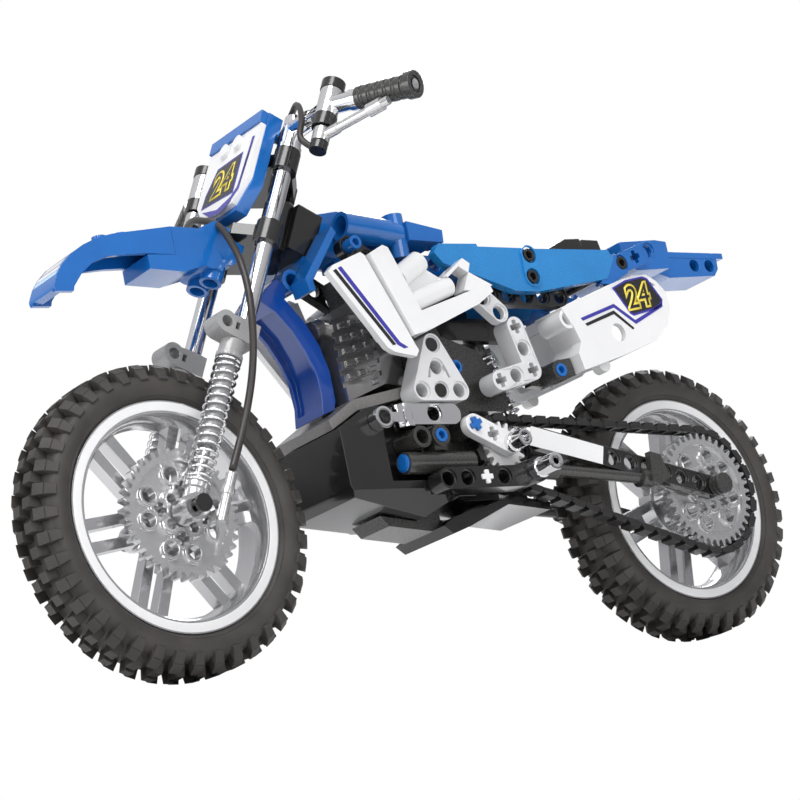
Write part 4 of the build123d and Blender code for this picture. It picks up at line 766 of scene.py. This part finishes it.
# raised cooling tiles on the fins of the cylinder grille, three columns on each side
for sgn, tag in ((-1, "left"), (1, "right")):
    V, Fc = [], []
    sl = 5.8 / 22.0
    for k in range(-1, 6):
        zc = 90.5 + 4.4 * k + 1.7
        for x0, x1 in ((73.3, 76.9), (78.0, 81.6), (82.7, 86.3)):
            lo_z = zc + (x0 - 70.0) * sl + 0.25
            hi_z = zc + (x0 - 70.0) * sl + 2.45
            d = (x1 - x0) * sl
            if lo_z < 91.0 or hi_z + d > 117.2 + (0.0 if x0 > 74 else -1.0):
                continue
            q = [(x0, lo_z), (x1, lo_z + d), (x1, hi_z + d), (x0, hi_z)]
            m_ = [(x0 + 0.45, lo_z + 0.5), (x1 - 0.45, lo_z + d + 0.25), (x1 - 0.45, hi_z + d - 0.55), (x0 + 0.45, hi_z - 0.35)]
            b0 = len(V)
            for x, z in q:
                V.append(E(x, 11.98 * sgn, z))
            for x, z in m_:
                V.append(E(x, 12.75 * sgn, z))
            Fc.append((b0, b0 + 1, b0 + 2, b0 + 3))
            Fc.append((b0 + 4, b0 + 5, b0 + 6, b0 + 7))
            for i in range(4):
                j = (i + 1) % 4
                Fc.append((b0 + i, b0 + j, b0 + 4 + j, b0 + 4 + i))
    o = mesh_object("grille_tiles_" + tag, V, Fc, "gunmetal")
    fix_normals(o)
    soften(o, 0.00010, 2, 25)
    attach(o, "frame")

# ------------------------------------------------------------------ stage
floor_mat, nt, b = new_mat("studio_floor")
n = nt.nodes
tc = n.new("ShaderNodeTexCoord")
ns = n.new("ShaderNodeTexNoise")
ns.inputs["Scale"].default_value = 6.0
nt.links.new(tc.outputs["Object"], ns.inputs["Vector"])
rp = n.new("ShaderNodeValToRGB")
rp.color_ramp.elements[0].color = (0.86, 0.86, 0.86, 1)
rp.color_ramp.elements[1].color = (0.90, 0.90, 0.90, 1)
nt.links.new(ns.outputs["Fac"], rp.inputs["Fac"])
nt.links.new(rp.outputs["Color"], b.inputs["Base Color"])
b.inputs["Roughness"].default_value = 0.9
out = n.get("Material Output")
geo = n.new("ShaderNodeNewGeometry")
tr = n.new("ShaderNodeBsdfTransparent")
mx = n.new("ShaderNodeMixShader")
nt.links.new(geo.outputs["Backfacing"], mx.inputs[0])
nt.links.new(b.outputs[0], mx.inputs[1])
nt.links.new(tr.outputs[0], mx.inputs[2])
nt.links.new(mx.outputs[0], out.inputs["Surface"])
fm = bpy.data.meshes.new("floor")
fm.from_pydata([(-2.5, -2.5, 0), (2.5, -2.5, 0), (2.5, 2.5, 0), (-2.5, 2.5, 0)], [], [(0, 1, 2, 3)])
fm.materials.append(floor_mat)
floor = bpy.data.objects.new("floor", fm)
floor.location = (0, 0, -0.0002)
scene.collection.objects.link(floor)

world = bpy.data.worlds.new("studio")
scene.world = world
world.use_nodes = True
wn = world.node_tree
wn.nodes.clear()
wo = wn.nodes.new("ShaderNodeOutputWorld")
mixw = wn.nodes.new("ShaderNodeMixShader")
lp = wn.nodes.new("ShaderNodeLightPath")
bgc = wn.nodes.new("ShaderNodeBackground")
bgc.inputs["Color"].default_value = (1, 1, 1, 1)
bgc.inputs["Strength"].default_value = 1.0
bgl = wn.nodes.new("ShaderNodeBackground")
bgl.inputs["Strength"].default_value = 1.0
tcw = wn.nodes.new("ShaderNodeTexCoord")
sep = wn.nodes.new("ShaderNodeSeparateXYZ")
wn.links.new(tcw.outputs["Generated"], sep.inputs["Vector"])
rw = wn.nodes.new("ShaderNodeValToRGB")
rw.color_ramp.elements[0].position = 0.0
rw.color_ramp.elements[0].color = (0.06, 0.06, 0.06, 1)
rw.color_ramp.elements[1].position = 1.0
rw.color_ramp.elements[1].color = (0.75, 0.75, 0.77, 1)
e1 = rw.color_ramp.elements.new(0.46)
e1.color = (0.26, 0.26, 0.26, 1)
e2 = rw.color_ramp.elements.new(0.52)
e2.color = (0.05, 0.05, 0.055, 1)
e3 = rw.color_ramp.elements.new(0.62)
e3.color = (0.45, 0.45, 0.47, 1)
mrw = wn.nodes.new("ShaderNodeMapRange")
mrw.inputs["From Min"].default_value = -1.0
mrw.inputs["From Max"].default_value = 1.0
wn.links.new(sep.outputs["Z"], mrw.inputs["Value"])
wn.links.new(mrw.outputs["Result"], rw.inputs["Fac"])
wn.links.new(rw.outputs["Color"], bgl.inputs["Color"])
wn.links.new(lp.outputs["Is Camera Ray"], mixw.inputs[0])
wn.links.new(bgl.outputs[0], mixw.inputs[1])
wn.links.new(bgc.outputs[0], mixw.inputs[2])
wn.links.new(mixw.outputs[0], wo.inputs["Surface"])


def area(name, loc, target, size, power, size_y=None, col=(1, 1, 1)):
    l = bpy.data.lights.new(name, "AREA")
    l.energy = power
    l.size = size
    l.color = col
    if size_y:
        l.shape = "RECTANGLE"
        l.size_y = size_y
    o = bpy.data.objects.new(name, l)
    scene.collection.objects.link(o)
    o.location = loc
    d = Vector(target) - Vector(loc)
    o.rotation_euler = d.to_track_quat("-Z", "Y").to_euler()
    return o


area("key", (-0.55, -0.55, 0.95), (0, 0, 0.08), 0.7, 8.5, 0.5)
area("fill_left", (-0.1, -1.2, 0.35), (0.02, 0, 0.08), 0.8, 4.0, 0.4)
area("front", (-1.1, 0.1, 0.30), (0, 0, 0.09), 0.4, 3.0, 0.5)
area("back_rim", (0.7, 0.5, 0.7), (0, 0, 0.1), 0.6, 5.0, 0.4)
area("low", (-0.45, -0.75, -0.25), (0, 0, 0.07), 0.4, 1.1, 0.2)

# ------------------------------------------------------------------ camera
a, e, r = radians(-39.971), radians(-13.854), radians(-11.382)
back = Vector((math.sin(a) * math.cos(e), -math.cos(a) * math.cos(e), math.sin(e)))
right = Vector((math.cos(a), math.sin(a), 0))
up = back.cross(right)
right2 = right * math.cos(r) + up * math.sin(r)
up2 = up * math.cos(r) - right * math.sin(r)
cam = bpy.data.objects.new("camera", bpy.data.cameras.new("camera"))
scene.collection.objects.link(cam)
loc = Vector((0.103791 - OX, 0, 0.090427)) + back * 0.866438
mw = Matrix(((right2.x, up2.x, back.x, loc.x), (right2.y, up2.y, back.y, loc.y), (right2.z, up2.z, back.z, loc.z), (0, 0, 0, 1)))
cam.matrix_world = mw
cam.data.lens = 114.73
cam.data.sensor_width = 36.0
cam.data.clip_start = 0.01
cam.data.clip_end = 20.0
scene.camera = cam
scene.view_settings.view_transform = "Standard"
scene.view_settings.look = "None"

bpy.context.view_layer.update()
